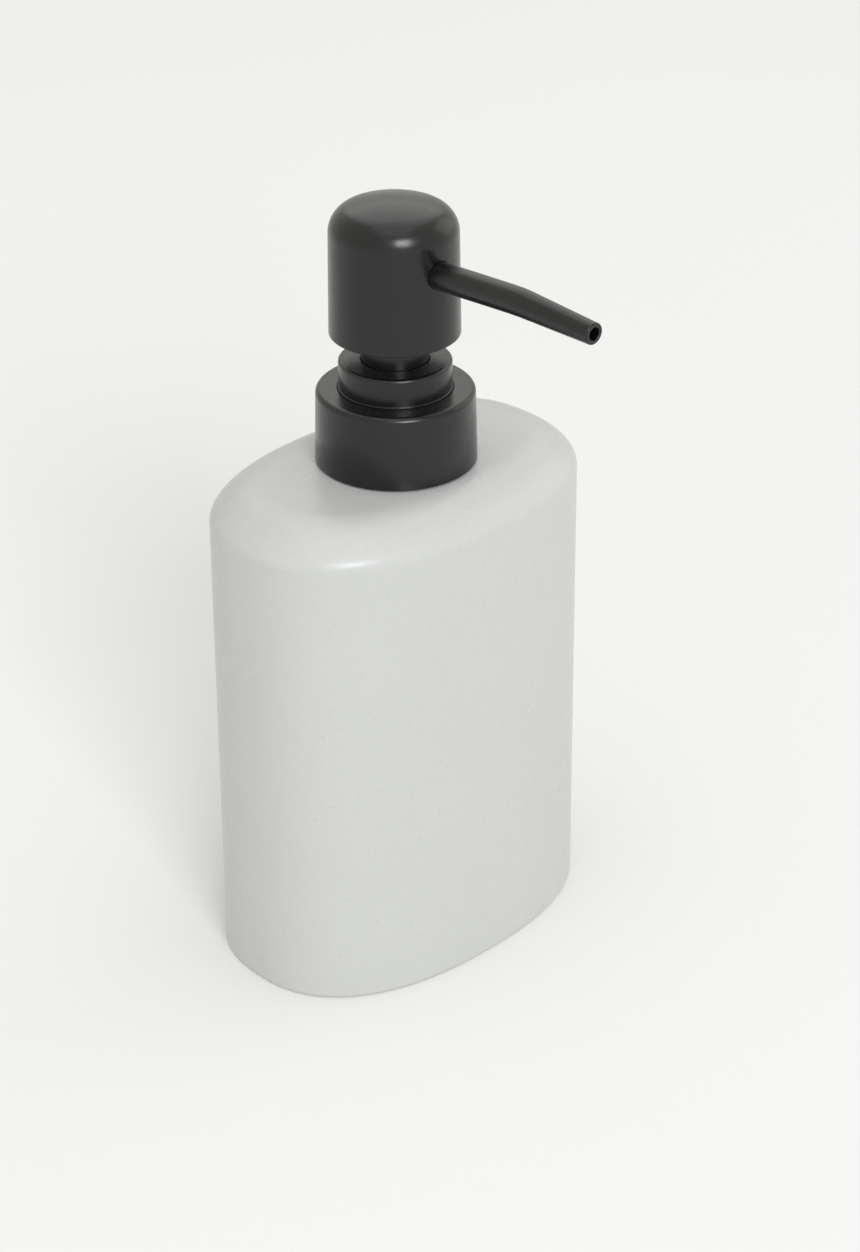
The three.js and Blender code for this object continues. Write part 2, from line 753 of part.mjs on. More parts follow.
function spout() {
  const { root, bend, tip, before, after } = spoutPath();
  const bendCurve = new THREE.QuadraticBezierCurve3(before, bend, after);
  const stations = [root, ...bendCurve.getPoints(bendSteps), tip];
  const firstLength = root.distanceTo(bend);
  const secondLength = bend.distanceTo(tip);
  const across = new THREE.Vector3(1, 0, 0);
  const outside = [];
  const inside = [];
  stations.forEach((centre, i) => {
    const ahead = stations[Math.min(i + 1, stations.length - 1)];
    const behind = stations[Math.max(i - 1, 0)];
    const along = ahead.clone().sub(behind).normalize();
    const upwards = new THREE.Vector3().crossVectors(across, along);
    const share = (centre.distanceTo(root) - firstLength) / secondLength;
    const radius = share > 0
      ? THREE.MathUtils.lerp(spoutBendRadius, spoutTipRadius, share)
      : THREE.MathUtils.lerp(spoutRootRadius, spoutBendRadius, centre.distanceTo(root) / firstLength);
    const ring = (size) => Array.from({ length: spoutSides }, (_, j) => {
      const turn = (2 * Math.PI * j) / spoutSides;
      return centre.clone()
        .addScaledVector(across, size * Math.cos(turn))
        .addScaledVector(upwards, size * Math.sin(turn));
    });
    outside.push(ring(radius));
    inside.push(ring(spoutBore));
  });
  return skin([...outside, ...inside.reverse()], true);
}

/** A round drill along the spout's first stretch, from one reach out to another. */
function spoutDrill(radius, fromReach, toReach) {
  const { root, bend } = spoutPath();
  const along = bend.clone().sub(root).normalize();
  const drill = new THREE.CylinderGeometry(radius, radius, toReach - fromReach, spoutSides);
  const turn = new THREE.Quaternion().setFromUnitVectors(new THREE.Vector3(0, 1, 0), along);
  drill.applyQuaternion(turn);
  const middle = root.addScaledVector(along, (fromReach + toReach) / 2 - spoutRootReach);
  return drill.translate(middle.x, middle.y, middle.z);
}

/** A tapered cup. The domed top's arc runs on from the rounded edge without a crease. */
function headShell() {
  const ceiling = headHeight - headCeiling;
  const edgeCentre = headTopRadius - headEdgeRadius;
  const edgeFoot = headHeight - headCrown - headEdgeRadius;
  const innerEdge = headEdgeRadius - headWall;
  const innerTop = headTopRadius - headWall;
  const domeRise = headHeight - edgeFoot;
  const domeRadius = (edgeCentre ** 2 + domeRise ** 2 - headEdgeRadius ** 2) / (2 * headCrown);
  const domeStart = Math.acos(edgeCentre / (domeRadius - headEdgeRadius));
  const profile = new THREE.Path();
  profile.moveTo(headBore, 0);
  profile.lineTo(headRadius - rimEdgeRadius, 0);
  profile.absarc(headRadius - rimEdgeRadius, rimEdgeRadius, rimEdgeRadius,
    -Math.PI / 2, 0, false);
  profile.lineTo(headTopRadius, edgeFoot);
  profile.absarc(edgeCentre, edgeFoot, headEdgeRadius, 0, domeStart, false);
  profile.absarc(0, headHeight - domeRadius, domeRadius, domeStart, Math.PI / 2, false);
  profile.lineTo(0, ceiling);
  profile.lineTo(innerTop - innerEdge, ceiling);
  profile.absarc(innerTop - innerEdge, ceiling - innerEdge, innerEdge, Math.PI / 2, 0, true);
  profile.lineTo(headBore, 0);
  const hole = spoutDrill(spoutRootRadius + seatGap, headBore / 2, 2 * headRadius);
  return cut(revolve(profile, visibleSides), hole);
}

/** The guide sleeve, stem socket and soap channel, on two flanges that locate the shell. */
function headCore() {
  const guideFoot = guideBottom - headRim;
  const top = headHeight - headCeiling - coreTopGap;
  const socketFoot = coreLowerFlange - stemSocketDepth;
  const seat = stemSeatHeight + seatGap;
  const channelTop = spoutRootHeight + riserRadius;
  const body = revolve([
    [0, channelTop],
    [riserRadius, channelTop],
    [riserRadius, seat],
    [stemSocketBore, seat],
    [stemSocketBore, socketFoot],
    [stemSocketRadius, socketFoot],
    [stemSocketRadius, coreLowerFlange - coreFlange],
    [guideBore, coreLowerFlange - coreFlange],
    [guideBore, guideFoot],
    [guideRadius, guideFoot],
    [guideRadius, coreLowerFlange],
    [coreFlangeRadius, coreLowerFlange],
    [coreFlangeRadius, coreLowerFlange + coreFlange],
    [coreHubRadius, coreLowerFlange + coreFlange],
    [coreHubRadius, top - coreFlange],
    [coreFlangeRadius, top - coreFlange],
    [coreFlangeRadius, top],
    [0, top],
  ], innerSides);
  const socket = spoutDrill(spoutRootRadius + seatGap, spoutRootReach - seatGap, 2 * headRadius);
  const channel = spoutDrill(spoutBore, 0, 2 * spoutRootReach);
  return cut(body, socket, channel);
}

// ---------------------------------------------------------------------------------------
// Assembly

function place(group, name, geometry, look) {
  const mesh = new THREE.Mesh(geometry, new THREE.MeshStandardMaterial(look));
  mesh.name = name;
  group.add(mesh);
  return mesh;
}

const dispenser = new THREE.Group();
place(dispenser, 'ceramic_bottle', ceramicBottle(), ceramicGlaze);

// Everything above the bottle is measured from its top face.
const neckGroup = new THREE.Group();
neckGroup.position.z = bottleHeight;
dispenser.add(neckGroup);
place(neckGroup, 'neck_insert', neckInsert(), naturalPlastic);

const pumpGroup = new THREE.Group();
neckGroup.add(pumpGroup);
place(pumpGroup, 'neck_gasket', neckGasket(), softSeal);
place(pumpGroup, 'pump_cylinder', pumpCylinder(), naturalPlastic);
place(pumpGroup, 'lock_sleeve', lockSleeve(), blackPlastic);
place(pumpGroup, 'step_ring', stepRing(), blackPlastic);
place(pumpGroup, 'ball_cage', ballCage(), naturalPlastic);
place(pumpGroup, 'inlet_ball', inletBall(), springSteel).position.z = ballCentre;
place(pumpGroup, 'dip_tube', dipTube(), clearTube);
place(pumpGroup, 'return_spring', returnSpring(), springSteel);

const collarGroup = new THREE.Group();
neckGroup.add(collarGroup);
place(collarGroup, 'screw_cap', screwCap(), blackPlastic);
place(collarGroup, 'collar_cover', collarCover(), blackPlastic);

const plungerGroup = new THREE.Group();
neckGroup.add(plungerGroup);
place(plungerGroup, 'stem', stem(), naturalPlastic);
place(plungerGroup, 'piston_rod', pistonRod(), naturalPlastic);
place(plungerGroup, 'piston', piston(), softSeal);

// The head's own pieces are measured from its rim.
const headGroup = new THREE.Group();
headGroup.position.z = headRim;
plungerGroup.add(headGroup);
place(headGroup, 'head_shell', headShell(), blackPlastic);
place(headGroup, 'head_core', headCore(), blackPlastic);
place(headGroup, 'spout', spout(), blackPlastic);

export default dispenser;
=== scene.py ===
import math

import bpy
import numpy as np
from mathutils import Matrix, Vector


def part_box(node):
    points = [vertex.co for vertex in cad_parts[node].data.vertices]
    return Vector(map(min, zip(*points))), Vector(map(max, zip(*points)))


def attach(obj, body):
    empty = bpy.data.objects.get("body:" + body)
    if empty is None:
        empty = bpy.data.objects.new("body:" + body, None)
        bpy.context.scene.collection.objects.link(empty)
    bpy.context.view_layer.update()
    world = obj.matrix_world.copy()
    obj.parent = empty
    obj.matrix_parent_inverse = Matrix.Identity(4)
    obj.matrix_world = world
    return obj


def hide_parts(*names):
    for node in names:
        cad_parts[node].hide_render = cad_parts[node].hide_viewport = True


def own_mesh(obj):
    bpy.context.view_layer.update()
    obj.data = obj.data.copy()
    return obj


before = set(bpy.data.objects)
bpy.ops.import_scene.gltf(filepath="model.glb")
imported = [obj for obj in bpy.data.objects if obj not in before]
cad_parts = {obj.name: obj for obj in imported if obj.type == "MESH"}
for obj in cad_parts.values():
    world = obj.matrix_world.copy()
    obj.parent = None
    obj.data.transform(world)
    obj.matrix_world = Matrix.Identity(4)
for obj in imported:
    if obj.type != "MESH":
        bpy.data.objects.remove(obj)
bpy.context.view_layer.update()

# A countertop soap pump: a satin-glazed ceramic bottle with a black moulded lotion pump.
# Metres, +Z up, with the spout along -Y. Every piece is a surface worked out on a grid, and
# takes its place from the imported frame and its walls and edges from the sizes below.

MM = 0.001
TAU = 2 * math.pi

ROUND_SIDES = 192  # round the pump's outer pieces and its threads
INNER_SIDES = 96  # round the pieces inside
TUBE_SIDES = 64  # round the suction tube and the spout's tools
ARC_STEPS = 8  # in a quarter turn of a rounded edge
SUPPORT = 0.15 * MM  # how close a flat's first grid line lies to a rounded edge


# ---------------------------------------------------------------------------------------
# Grids and meshes


def box_size(node):
    """The outer radius, the lowest and the highest point of a round CAD node."""
    low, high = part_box(node)
    return high.x, low.z, high.z


def grid_faces(rows, columns, ring):
    """Quads between neighbouring grid points; columns close round, and rows do in a ring."""
    last = rows if ring else rows - 1
    row = np.arange(last)[:, None]
    column = np.arange(columns)[None, :]
    next_row = (row + 1) % rows
    next_column = (column + 1) % columns
    corners = [
        row * columns + column,
        row * columns + next_column,
        next_row * columns + next_column,
        next_row * columns + column,
    ]
    return np.stack(corners, axis=-1).reshape(-1, 4)


def signed_volume(points, triangles):
    """A sixth of the sum of a . (b x c) over the triangles: below nought when inside out."""
    a, b, c = (points[triangles[:, i]] for i in range(3))
    return float(np.einsum("ij,ij->i", a, np.cross(b, c)).sum()) / 6


def closed_mesh(name, grid, ring=False):
    """
    A closed mesh over a grid of points shaped (rows, columns, 3). A ring joins its last row
    to its first; otherwise each end row is closed by a fan to its own middle.
    """
    rows, columns = grid.shape[:2]
    points = grid.reshape(-1, 3)
    quads = grid_faces(rows, columns, ring)
    fans = np.empty((0, 3), int)
    if not ring:
        around = np.arange(columns)
        onward = (around + 1) % columns
        start_hub, end_hub = len(points), len(points) + 1
        points = np.vstack([points, grid[0].mean(axis=0), grid[-1].mean(axis=0)])
        start = np.stack([np.full(columns, start_hub), onward, around], axis=-1)
        top = (rows - 1) * columns
        end = np.stack([np.full(columns, end_hub), top + around, top + onward], axis=-1)
        fans = np.vstack([start, end])
    triangles = np.vstack([quads[:, [0, 1, 2]], quads[:, [0, 2, 3]], fans])
    if signed_volume(points, triangles) < 0:
        quads, fans = quads[:, ::-1], fans[:, ::-1]
    mesh = bpy.data.meshes.new(name)
    mesh.from_pydata(points.tolist(), [], quads.tolist() + fans.tolist())
    mesh.polygons.foreach_set("use_smooth", np.ones(len(mesh.polygons), bool))
    mesh.update()
    return mesh


def piece(name, mesh, body, node, finish):
    """A finished piece that rides on a body, stands for a CAD node and has one finish."""
    made = bpy.data.objects.new(name, mesh)
    bpy.context.scene.collection.objects.link(made)
    mesh.materials.clear()
    mesh.materials.append(finish)
    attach(made, body)
    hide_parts(node)
    return made


def rounded_outline(corners, closed=True):
    """
    The points of an outline whose corners are (radius, height, rounding). A rounded corner is
    the arc tangent to both of its runs: its centre lies on the bisector, rounding / cos(half
    the turn) from the corner, and its points swing evenly between the two tangent points.
    Each run gets a point close to either end, which keeps its shading flat.
    """
    spots = np.array([corner[:2] for corner in corners], float)
    count = len(spots)
    pieces = []
    for i, (_, _, rounding) in enumerate(corners):
        end = not closed and i in (0, count - 1)
        if end or rounding <= 0:
            pieces.append(spots[i][None])
            continue
        arriving = spots[i] - spots[i - 1]
        leaving = spots[(i + 1) % count] - spots[i]
        arriving /= np.linalg.norm(arriving)
        leaving /= np.linalg.norm(leaving)
        turn = math.acos(float(np.clip(arriving @ leaving, -1, 1)))
        reach = rounding * math.tan(turn / 2)
        bisector = leaving - arriving
        bisector /= np.linalg.norm(bisector)
        centre = spots[i] + bisector * rounding / math.cos(turn / 2)
        first = spots[i] - arriving * reach - centre
        last = spots[i] + leaving * reach - centre
        steps = max(3, round(ARC_STEPS * turn / (TAU / 4)))
        share = np.linspace(0, 1, steps + 1)[:, None]
        swing = np.sin((1 - share) * turn) * first + np.sin(share * turn) * last
        pieces.append(centre + swing / math.sin(turn))
    outline = []
    for i, stretch in enumerate(pieces):
        outline.append(stretch)
        if not closed and i == count - 1:
            continue
        run = pieces[(i + 1) % count][0] - stretch[-1]
        length = float(np.linalg.norm(run))
        if length > 4 * SUPPORT:
            near = stretch[-1] + run * SUPPORT / length
            far = stretch[-1] + run * (1 - SUPPORT / length)
            outline.append(np.stack([near, far]))
    return np.vstack(outline)


def revolve(outline, sides=ROUND_SIDES):
    """Turns an outline about the Z axis: x = r cos t, y = r sin t and z = height."""
    turn = np.arange(sides) * TAU / sides
    radius, height = outline[:, :1], outline[:, 1:]
    return np.stack(
        [radius * np.cos(turn), radius * np.sin(turn), height + 0 * turn], axis=-1
    )


def turned_ring(name, corners, sides=ROUND_SIDES):
    """A ring-shaped body from a closed outline in metres."""
    return closed_mesh(name, revolve(rounded_outline(corners), sides), ring=True)


def turned_solid(name, corners, sides=ROUND_SIDES):
    """A body from an outline in metres that starts and ends beside the axis."""
    outline = rounded_outline(corners, closed=False)
    return closed_mesh(name, revolve(outline, sides))


def cut_away(mesh, *tools):
    """The mesh with each closed tool mesh taken out of it, and its new corners kept crisp."""
    holder = bpy.data.objects.new("cutting", mesh)
    bpy.context.scene.collection.objects.link(holder)
    cutters = []
    for tool in tools:
        cutter = bpy.data.objects.new("cutter", tool)
        bpy.context.scene.collection.objects.link(cutter)
        cutters.append(cutter)
        step = holder.modifiers.new("cut", "BOOLEAN")
        step.operation = "DIFFERENCE"
        step.solver = "EXACT"
        step.object = cutter
    bpy.context.view_layer.update()
    evaluated = holder.evaluated_get(bpy.context.evaluated_depsgraph_get())
    result = bpy.data.meshes.new_from_object(evaluated)
    for spare in [holder, *cutters]:
        bpy.data.objects.remove(spare)
    result.polygons.foreach_set("use_smooth", np.ones(len(result.polygons), bool))
    result.set_sharp_from_angle(angle=math.radians(32))
    result.name = mesh.name
    return result


# ---------------------------------------------------------------------------------------
# Finishes


class Finish:
    """A node material whose patterns lie in the object's own frame, in metres."""

    def __init__(self, name):
        self.material = bpy.data.materials.new(name)
        self.material.use_nodes = True
        self.tree = self.material.node_tree
        self.tree.nodes.clear()
        self.output = self.node("ShaderNodeOutputMaterial")
        self.shader = self.node("ShaderNodeBsdfPrincipled")
        self.link(self.shader.outputs[0], self.output.inputs["Surface"])
        self.place = self.node("ShaderNodeTexCoord").outputs["Object"]

    def node(self, kind, **settings):
        made = self.tree.nodes.new(kind)
        for key, value in settings.items():
            setattr(made, key, value)
        return made

    def link(self, source, target):
        self.tree.links.new(source, target)

    def noise(self, size, detail=3.0, roughness=0.55, place=None):
        """Noise whose features are about the given size across, in metres."""
        made = self.node("ShaderNodeTexNoise")
        made.inputs["Scale"].default_value = 1 / size
        made.inputs["Detail"].default_value = detail
        made.inputs["Roughness"].default_value = roughness
        self.link(place or self.place, made.inputs["Vector"])
        return made.outputs["Fac"]

    def spread(self, value, low, high, to_low, to_high):
        """Maps low..high to to_low..to_high, held at the ends."""
        made = self.node("ShaderNodeMapRange", clamp=True)
        for key, number in zip(
            ("From Min", "From Max", "To Min", "To Max"), (low, high, to_low, to_high)
        ):
            made.inputs[key].default_value = number
        self.link(value, made.inputs["Value"])
        return made.outputs["Result"]

    def tint(self, factor, first, second):
        """A mix of two colours, each a tuple or another node's output."""
        made = self.node("ShaderNodeMix", data_type="RGBA")
        self.link(factor, made.inputs["Factor"])
        for key, colour in ((6, first), (7, second)):
            if isinstance(colour, tuple):
                made.inputs[key].default_value = (*colour, 1)
            else:
                self.link(colour, made.inputs[key])
        return made.outputs[2]

    def height(self):
        """The height above the surface that the object stands on."""
        split = self.node("ShaderNodeSeparateXYZ")
        self.link(self.place, split.inputs[0])
        return split.outputs["Z"]

    def relief(self, layers):
        """Bumps laid over each other, each (pattern, depth in metres, strength)."""
        normal = None
        for pattern, depth, strength in layers:
            bump = self.node("ShaderNodeBump")
            bump.inputs["Strength"].default_value = strength
            bump.inputs["Distance"].default_value = depth
            self.link(pattern, bump.inputs["Height"])
            if normal is not None:
                self.link(normal, bump.inputs["Normal"])
            normal = bump.outputs["Normal"]
        self.link(normal, self.shader.inputs["Normal"])

    def set(self, **values):
        for key, value in values.items():
            self.shader.inputs[key.replace("_", " ")].default_value = value
        return self


def satin_glaze():
    """Pale grey satin glaze with a fine mottle, over a bare foot of pale fired clay."""
    look = Finish("satin_glaze")
    cloud = look.spread(look.noise(22 * MM, 2.0), 0.35, 0.65, 0, 1)
    grain = look.spread(look.noise(0.55 * MM, 4.0, 0.7), 0.3, 0.7, 0, 1)
    fleck = look.spread(look.noise(1.6 * MM, 2.0, 0.6), 0.56, 0.72, 0, 1)
    warm = look.tint(cloud, (0.468, 0.474, 0.467), (0.480, 0.486, 0.479))
    mottled = look.tint(grain, warm, (0.498, 0.504, 0.496))
    flecked = look.tint(look.spread(fleck, 0, 1, 0, 0.35), mottled, (0.440, 0.446, 0.439))
    wobble = look.noise(6 * MM, 2.0)
    edge = look.node("ShaderNodeMath", operation="MULTIPLY_ADD")
    look.link(wobble, edge.inputs[0])
    edge.inputs[1].default_value = -0.35 * MM
    look.link(look.height(), edge.inputs[2])
    glazed = look.spread(edge.outputs[0], 0.12 * MM, 0.3 * MM, 0, 1)
    clay = look.tint(grain, (0.62, 0.585, 0.52), (0.68, 0.65, 0.59))
    look.link(look.tint(glazed, clay, flecked), look.shader.inputs["Base Color"])
    gloss = look.spread(look.noise(3 * MM, 3.0), 0.3, 0.7, 0.27, 0.34)
    rough = look.node("ShaderNodeMix", data_type="FLOAT")
    look.link(glazed, rough.inputs["Factor"])
    rough.inputs[2].default_value = 0.85
    look.link(gloss, rough.inputs[3])
    look.link(rough.outputs[0], look.shader.inputs["Roughness"])
    look.relief([
        (look.noise(7 * MM, 2.0), 0.05 * MM, 0.5),
        (look.noise(0.5 * MM, 3.0, 0.6), 0.006 * MM, 0.25),
    ])
    look.set(IOR=1.5, Specular_IOR_Level=0.42)
    return look.material


def black_moulding():
    """Satin black moulded plastic with a fine even texture from the tool."""
    look = Finish("black_moulding")
    cloud = look.spread(look.noise(9 * MM, 2.0), 0.35, 0.65, 0, 1)
    grain = look.spread(look.noise(0.25 * MM, 3.0, 0.7), 0.3, 0.7, 0, 1)
    base = look.tint(cloud, (0.0026, 0.0026, 0.0025), (0.0036, 0.0036, 0.0034))
    colour = look.tint(look.spread(grain, 0, 1, 0, 0.5), base, (0.0046, 0.0046, 0.0044))
    look.link(colour, look.shader.inputs["Base Color"])
    rough = look.spread(look.noise(2.2 * MM, 3.0), 0.3, 0.7, 0.24, 0.30)
    look.link(rough, look.shader.inputs["Roughness"])
    look.relief([
        (look.noise(5 * MM, 2.0), 0.02 * MM, 0.4),
        (look.noise(0.3 * MM, 2.0, 0.6), 0.003 * MM, 0.15),
    ])
    look.set(IOR=1.5, Specular_IOR_Level=0.48, Sheen_Weight=0.05, Sheen_Roughness=0.35)
    return look.material


def milky_plastic(name, pale, deep, rough_low, rough_high, subsurface):
    """Unpigmented moulded plastic, cloudy inside and faintly uneven on its surface."""
    look = Finish(name)
    cloud = look.spread(look.noise(4 * MM, 2.0), 0.35, 0.65, 0, 1)
    look.link(look.tint(cloud, pale, deep), look.shader.inputs["Base Color"])
    rough = look.spread(look.noise(1.5 * MM, 3.0), 0.3, 0.7, rough_low, rough_high)
    look.link(rough, look.shader.inputs["Roughness"])
    look.relief([(look.noise(0.4 * MM, 2.0), 0.006 * MM, 0.4)])
    look.set(IOR=1.49, Subsurface_Weight=subsurface, Subsurface_Scale=1.5 * MM)
    return look.material


def drawn_steel(name, across, rough_low, rough_high):
    """Bright stainless steel whose fine marks are stretched along Z by the given ratio."""
    look = Finish(name)
    squeeze = look.node("ShaderNodeMapping")
    squeeze.inputs["Scale"].default_value = (1, 1, across)
    look.link(look.place, squeeze.inputs["Vector"])
    marks = look.noise(0.3 * MM, 4.0, 0.6, squeeze.outputs["Vector"])
    shade = look.spread(marks, 0.3, 0.7, 0, 1)
    look.link(look.tint(shade, (0.50, 0.505, 0.51), (0.63, 0.635, 0.64)),
              look.shader.inputs["Base Color"])
    look.link(look.spread(marks, 0.3, 0.7, rough_low, rough_high),
              look.shader.inputs["Roughness"])
    look.relief([(marks, 0.004 * MM, 0.4)])
    look.set(Metallic=1.0)
    return look.material


# ---------------------------------------------------------------------------------------
# Ceramic bottle

SQUARENESS = 2.368  # exponent of the plan's superellipse
FLARE = 0.02  # how much larger the plan is at the base than at the top
SHOULDER = 12.8 * MM  # radius of the dome between the tight edge and the flat top
SHOULDER_EDGE = 4.0 * MM
SHOULDER_TURN = math.radians(35)  # how far the tight edge turns before the dome
BASE_EDGE = 1.0 * MM
CERAMIC_WALL = 4.5 * MM
CERAMIC_FLOOR = 5.0 * MM
INNER_FOOT = 4.0 * MM
MOUTH_GAP = 0.3 * MM  # between the glued neck and the mouth
NECK_STEP = 0.5 * MM  # how much slimmer the glued tube is than the neck's threaded wall
LIP_EDGE = 0.6 * MM  # rounding of the mouth's two lips
LIP_REACH = 2.0 * MM  # how far the flat beside each lip is carried
BASE_ROWS = np.array([8.0, 3.0, 1.2]) * MM  # how far in the flat base's rows lie
TOP_ROW = 0.3 * MM  # from the shoulder to the flat top's first row
INNER_MARGIN = 1.0 * MM  # from the inner arcs to the inner side's end rows
PLAN_POINTS = 256
WALK_POINTS = 16001  # in the fine walk that measures the plan's perimeter
SIDE_ROWS = 30
EDGE_STEPS = 16  # round the shoulder's tight edge
DOME_STEPS = 30  # round its dome
DOME_START = 0.02  # radians past the tight edge, so that no row is doubled
INNER_DOME_STEPS = 14
INNER_SIDE_ROWS = 12
INNER_FOOT_STEPS = 10


def even_turns(length, width):
    """
    Parameter values that space points evenly along a superellipse: its perimeter is summed
    over a fine walk of the parameter, and equal shares of it are looked up.
    """
    walk = np.linspace(0, TAU, WALK_POINTS)
    x, y = superellipse(walk, length, width)
    steps = np.hypot(np.diff(x), np.diff(y))
    travelled = np.concatenate([[0], np.cumsum(steps)])
    shares = np.arange(PLAN_POINTS) / PLAN_POINTS
    return np.interp(shares * travelled[-1], travelled, walk)


def superellipse(turn, length, width):
    """x = a sign(cos t) |cos t|^(2/n) and y = b sign(sin t) |sin t|^(2/n)."""
    power = 2 / SQUARENESS
    x = length / 2 * np.sign(np.cos(turn)) * np.abs(np.cos(turn)) ** power
    y = width / 2 * np.sign(np.sin(turn)) * np.abs(np.sin(turn)) ** power
    return x, y


def bottle_rows(inset, height, top_length, top_width, top):
    """
    Plan rings, one for each inset and height: the superellipse scaled by the flare at that
    height, then moved inwards along its own normal (|x/a|^(n-1) / a, |y/b|^(n-1) / b).
    """
    scale = (1 + FLARE * (1 - height / top))[:, None]
    turn = even_turns(top_length, top_width)[None, :]
    x, y = superellipse(turn, top_length * scale, top_width * scale)
    power = 2 - 2 / SQUARENESS
    normal_x = np.sign(np.cos(turn)) * np.abs(np.cos(turn)) ** power / (top_length * scale)
    normal_y = np.sign(np.sin(turn)) * np.abs(np.sin(turn)) ** power / (top_width * scale)
    size = np.hypot(normal_x, normal_y)
    x = x - inset[:, None] * normal_x / size
    y = y - inset[:, None] * normal_y / size
    return np.stack([x, y, height[:, None] + 0 * x], axis=-1)


def edge_rows(inset, height, radius, start, end, steps):
    """Insets and heights round an arc centred at an inset and a height."""
    turn = np.linspace(start, end, steps + 1)
    return inset - radius * np.cos(turn), height + radius * np.sin(turn)


def mouth_rows(mouth, top, under):
    """Round rows over the mouth's rounded lips and down its bore."""
    beside = mouth + LIP_REACH
    outline = rounded_outline(
        [(beside, top, 0), (mouth, top, LIP_EDGE), (mouth, under, LIP_EDGE),
         (beside, under, 0)], closed=False)
    return revolve(outline, PLAN_POINTS)


def glazed_bottle():
    """
    Rows from the middle of the base out and up the drafted side, over the shoulder, across
    the flat top to the mouth, down through it and back along the inner walls to the floor.
    The shoulder is two arcs that meet at the same slope: a tight one and a wide one, whose
    centres are the difference of their radii apart along the normal where they meet.
    """
    low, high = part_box("ceramic_bottle")
    top = high.z
    edge_scale = 1 + FLARE * (1 - BASE_EDGE / top)
    length = 2 * high.x / edge_scale
    width = 2 * high.y / edge_scale
    quarter = TAU / 4
    shift = SHOULDER - SHOULDER_EDGE
    inset = SHOULDER_EDGE + shift * math.cos(SHOULDER_TURN)
    shoulder = top - SHOULDER
    edge = shoulder + shift * math.sin(SHOULDER_TURN)
    inner = SHOULDER - CERAMIC_WALL
    inner_turn = math.acos((inset - CERAMIC_WALL) / inner)
    inner_edge = shoulder + inner * math.sin(inner_turn)
    foot_inset, foot_height = CERAMIC_WALL + INNER_FOOT, CERAMIC_FLOOR + INNER_FOOT
    stretches = [
        (BASE_ROWS, 0 * BASE_ROWS),
        edge_rows(BASE_EDGE, BASE_EDGE, BASE_EDGE, -quarter, 0, ARC_STEPS),
        (np.zeros(SIDE_ROWS), np.linspace(BASE_EDGE + SUPPORT, edge - SUPPORT, SIDE_ROWS)),
        edge_rows(SHOULDER_EDGE, edge, SHOULDER_EDGE, 0, SHOULDER_TURN, EDGE_STEPS),
        edge_rows(inset, shoulder, SHOULDER, SHOULDER_TURN + DOME_START, quarter, DOME_STEPS),
        (np.array([inset + TOP_ROW]), np.array([top])),
    ]
    outside = np.vstack([bottle_rows(i, h, length, width, top) for i, h in stretches])
    mouth = neck_radius() - NECK_STEP + MOUTH_GAP
    lip = mouth_rows(mouth, top, top - CERAMIC_WALL)
    stretches = [
        edge_rows(inset, shoulder, inner, quarter, inner_turn, INNER_DOME_STEPS),
        (np.full(INNER_SIDE_ROWS, CERAMIC_WALL),
         np.linspace(inner_edge - INNER_MARGIN, foot_height + INNER_MARGIN, INNER_SIDE_ROWS)),
        edge_rows(foot_inset, foot_height, INNER_FOOT, 0, -quarter, INNER_FOOT_STEPS),
    ]
    inside = np.vstack([bottle_rows(i, h, length, width, top) for i, h in stretches])
    return closed_mesh("glazed_bottle", np.vstack([outside, lip, inside]))


# ---------------------------------------------------------------------------------------
# Threaded neck, screw cap and collar

NECK_WALL = 2.0 * MM
NECK_FLANGE = 1.2 * MM
THREAD_LEAD = 3.0 * MM
THREAD_TURNS = 1.5
THREAD_DEPTH = 1.0 * MM
THREAD_ROOT = 1.3 * MM
THREAD_CREST = 0.7 * MM
THREAD_HEADROOM = 1.05 * MM
THREAD_ROW = 0.11 * MM  # between the rows of a threaded wall
CAP_WALL = 1.2 * MM
CAP_PLATE = 1.0 * MM
COLLAR_GAP = 0.3 * MM
COLLAR_PLATE = 1.06 * MM
COLLAR_EDGE = 1.2 * MM
COLLAR_TAPER = 0.39 * MM
RUN_GAP = 0.3 * MM  # round what turns or slides
SEAM = 0.12 * MM  # the finer gap that shows round the step ring and the head's sleeve


def neck_radius():
    """The thread's root on the neck: the gasket on its rim is just as wide."""
    return box_size("neck_gasket")[0]


def thread_shift(angle, height, start):
    """
    How far a thread stands out of its wall, from nought to one. At each point the nearest
    turn of the helix start + lead * turns is found; the ridge is a flat crest with straight
    flanks across it, and fades over an eighth of a turn at both ends.
    """
    share = angle / TAU
    turns = share + np.round((height - start) / THREAD_LEAD - share)
    off = np.abs(height - start - THREAD_LEAD * turns)
    flank = (THREAD_ROOT - THREAD_CREST) / 2
    ridge = np.clip((THREAD_ROOT / 2 - off) / flank, 0, 1)
    fade = np.clip(np.minimum(turns, THREAD_TURNS - turns) * 8 + 0.5, 0, 1)
    return ridge * fade


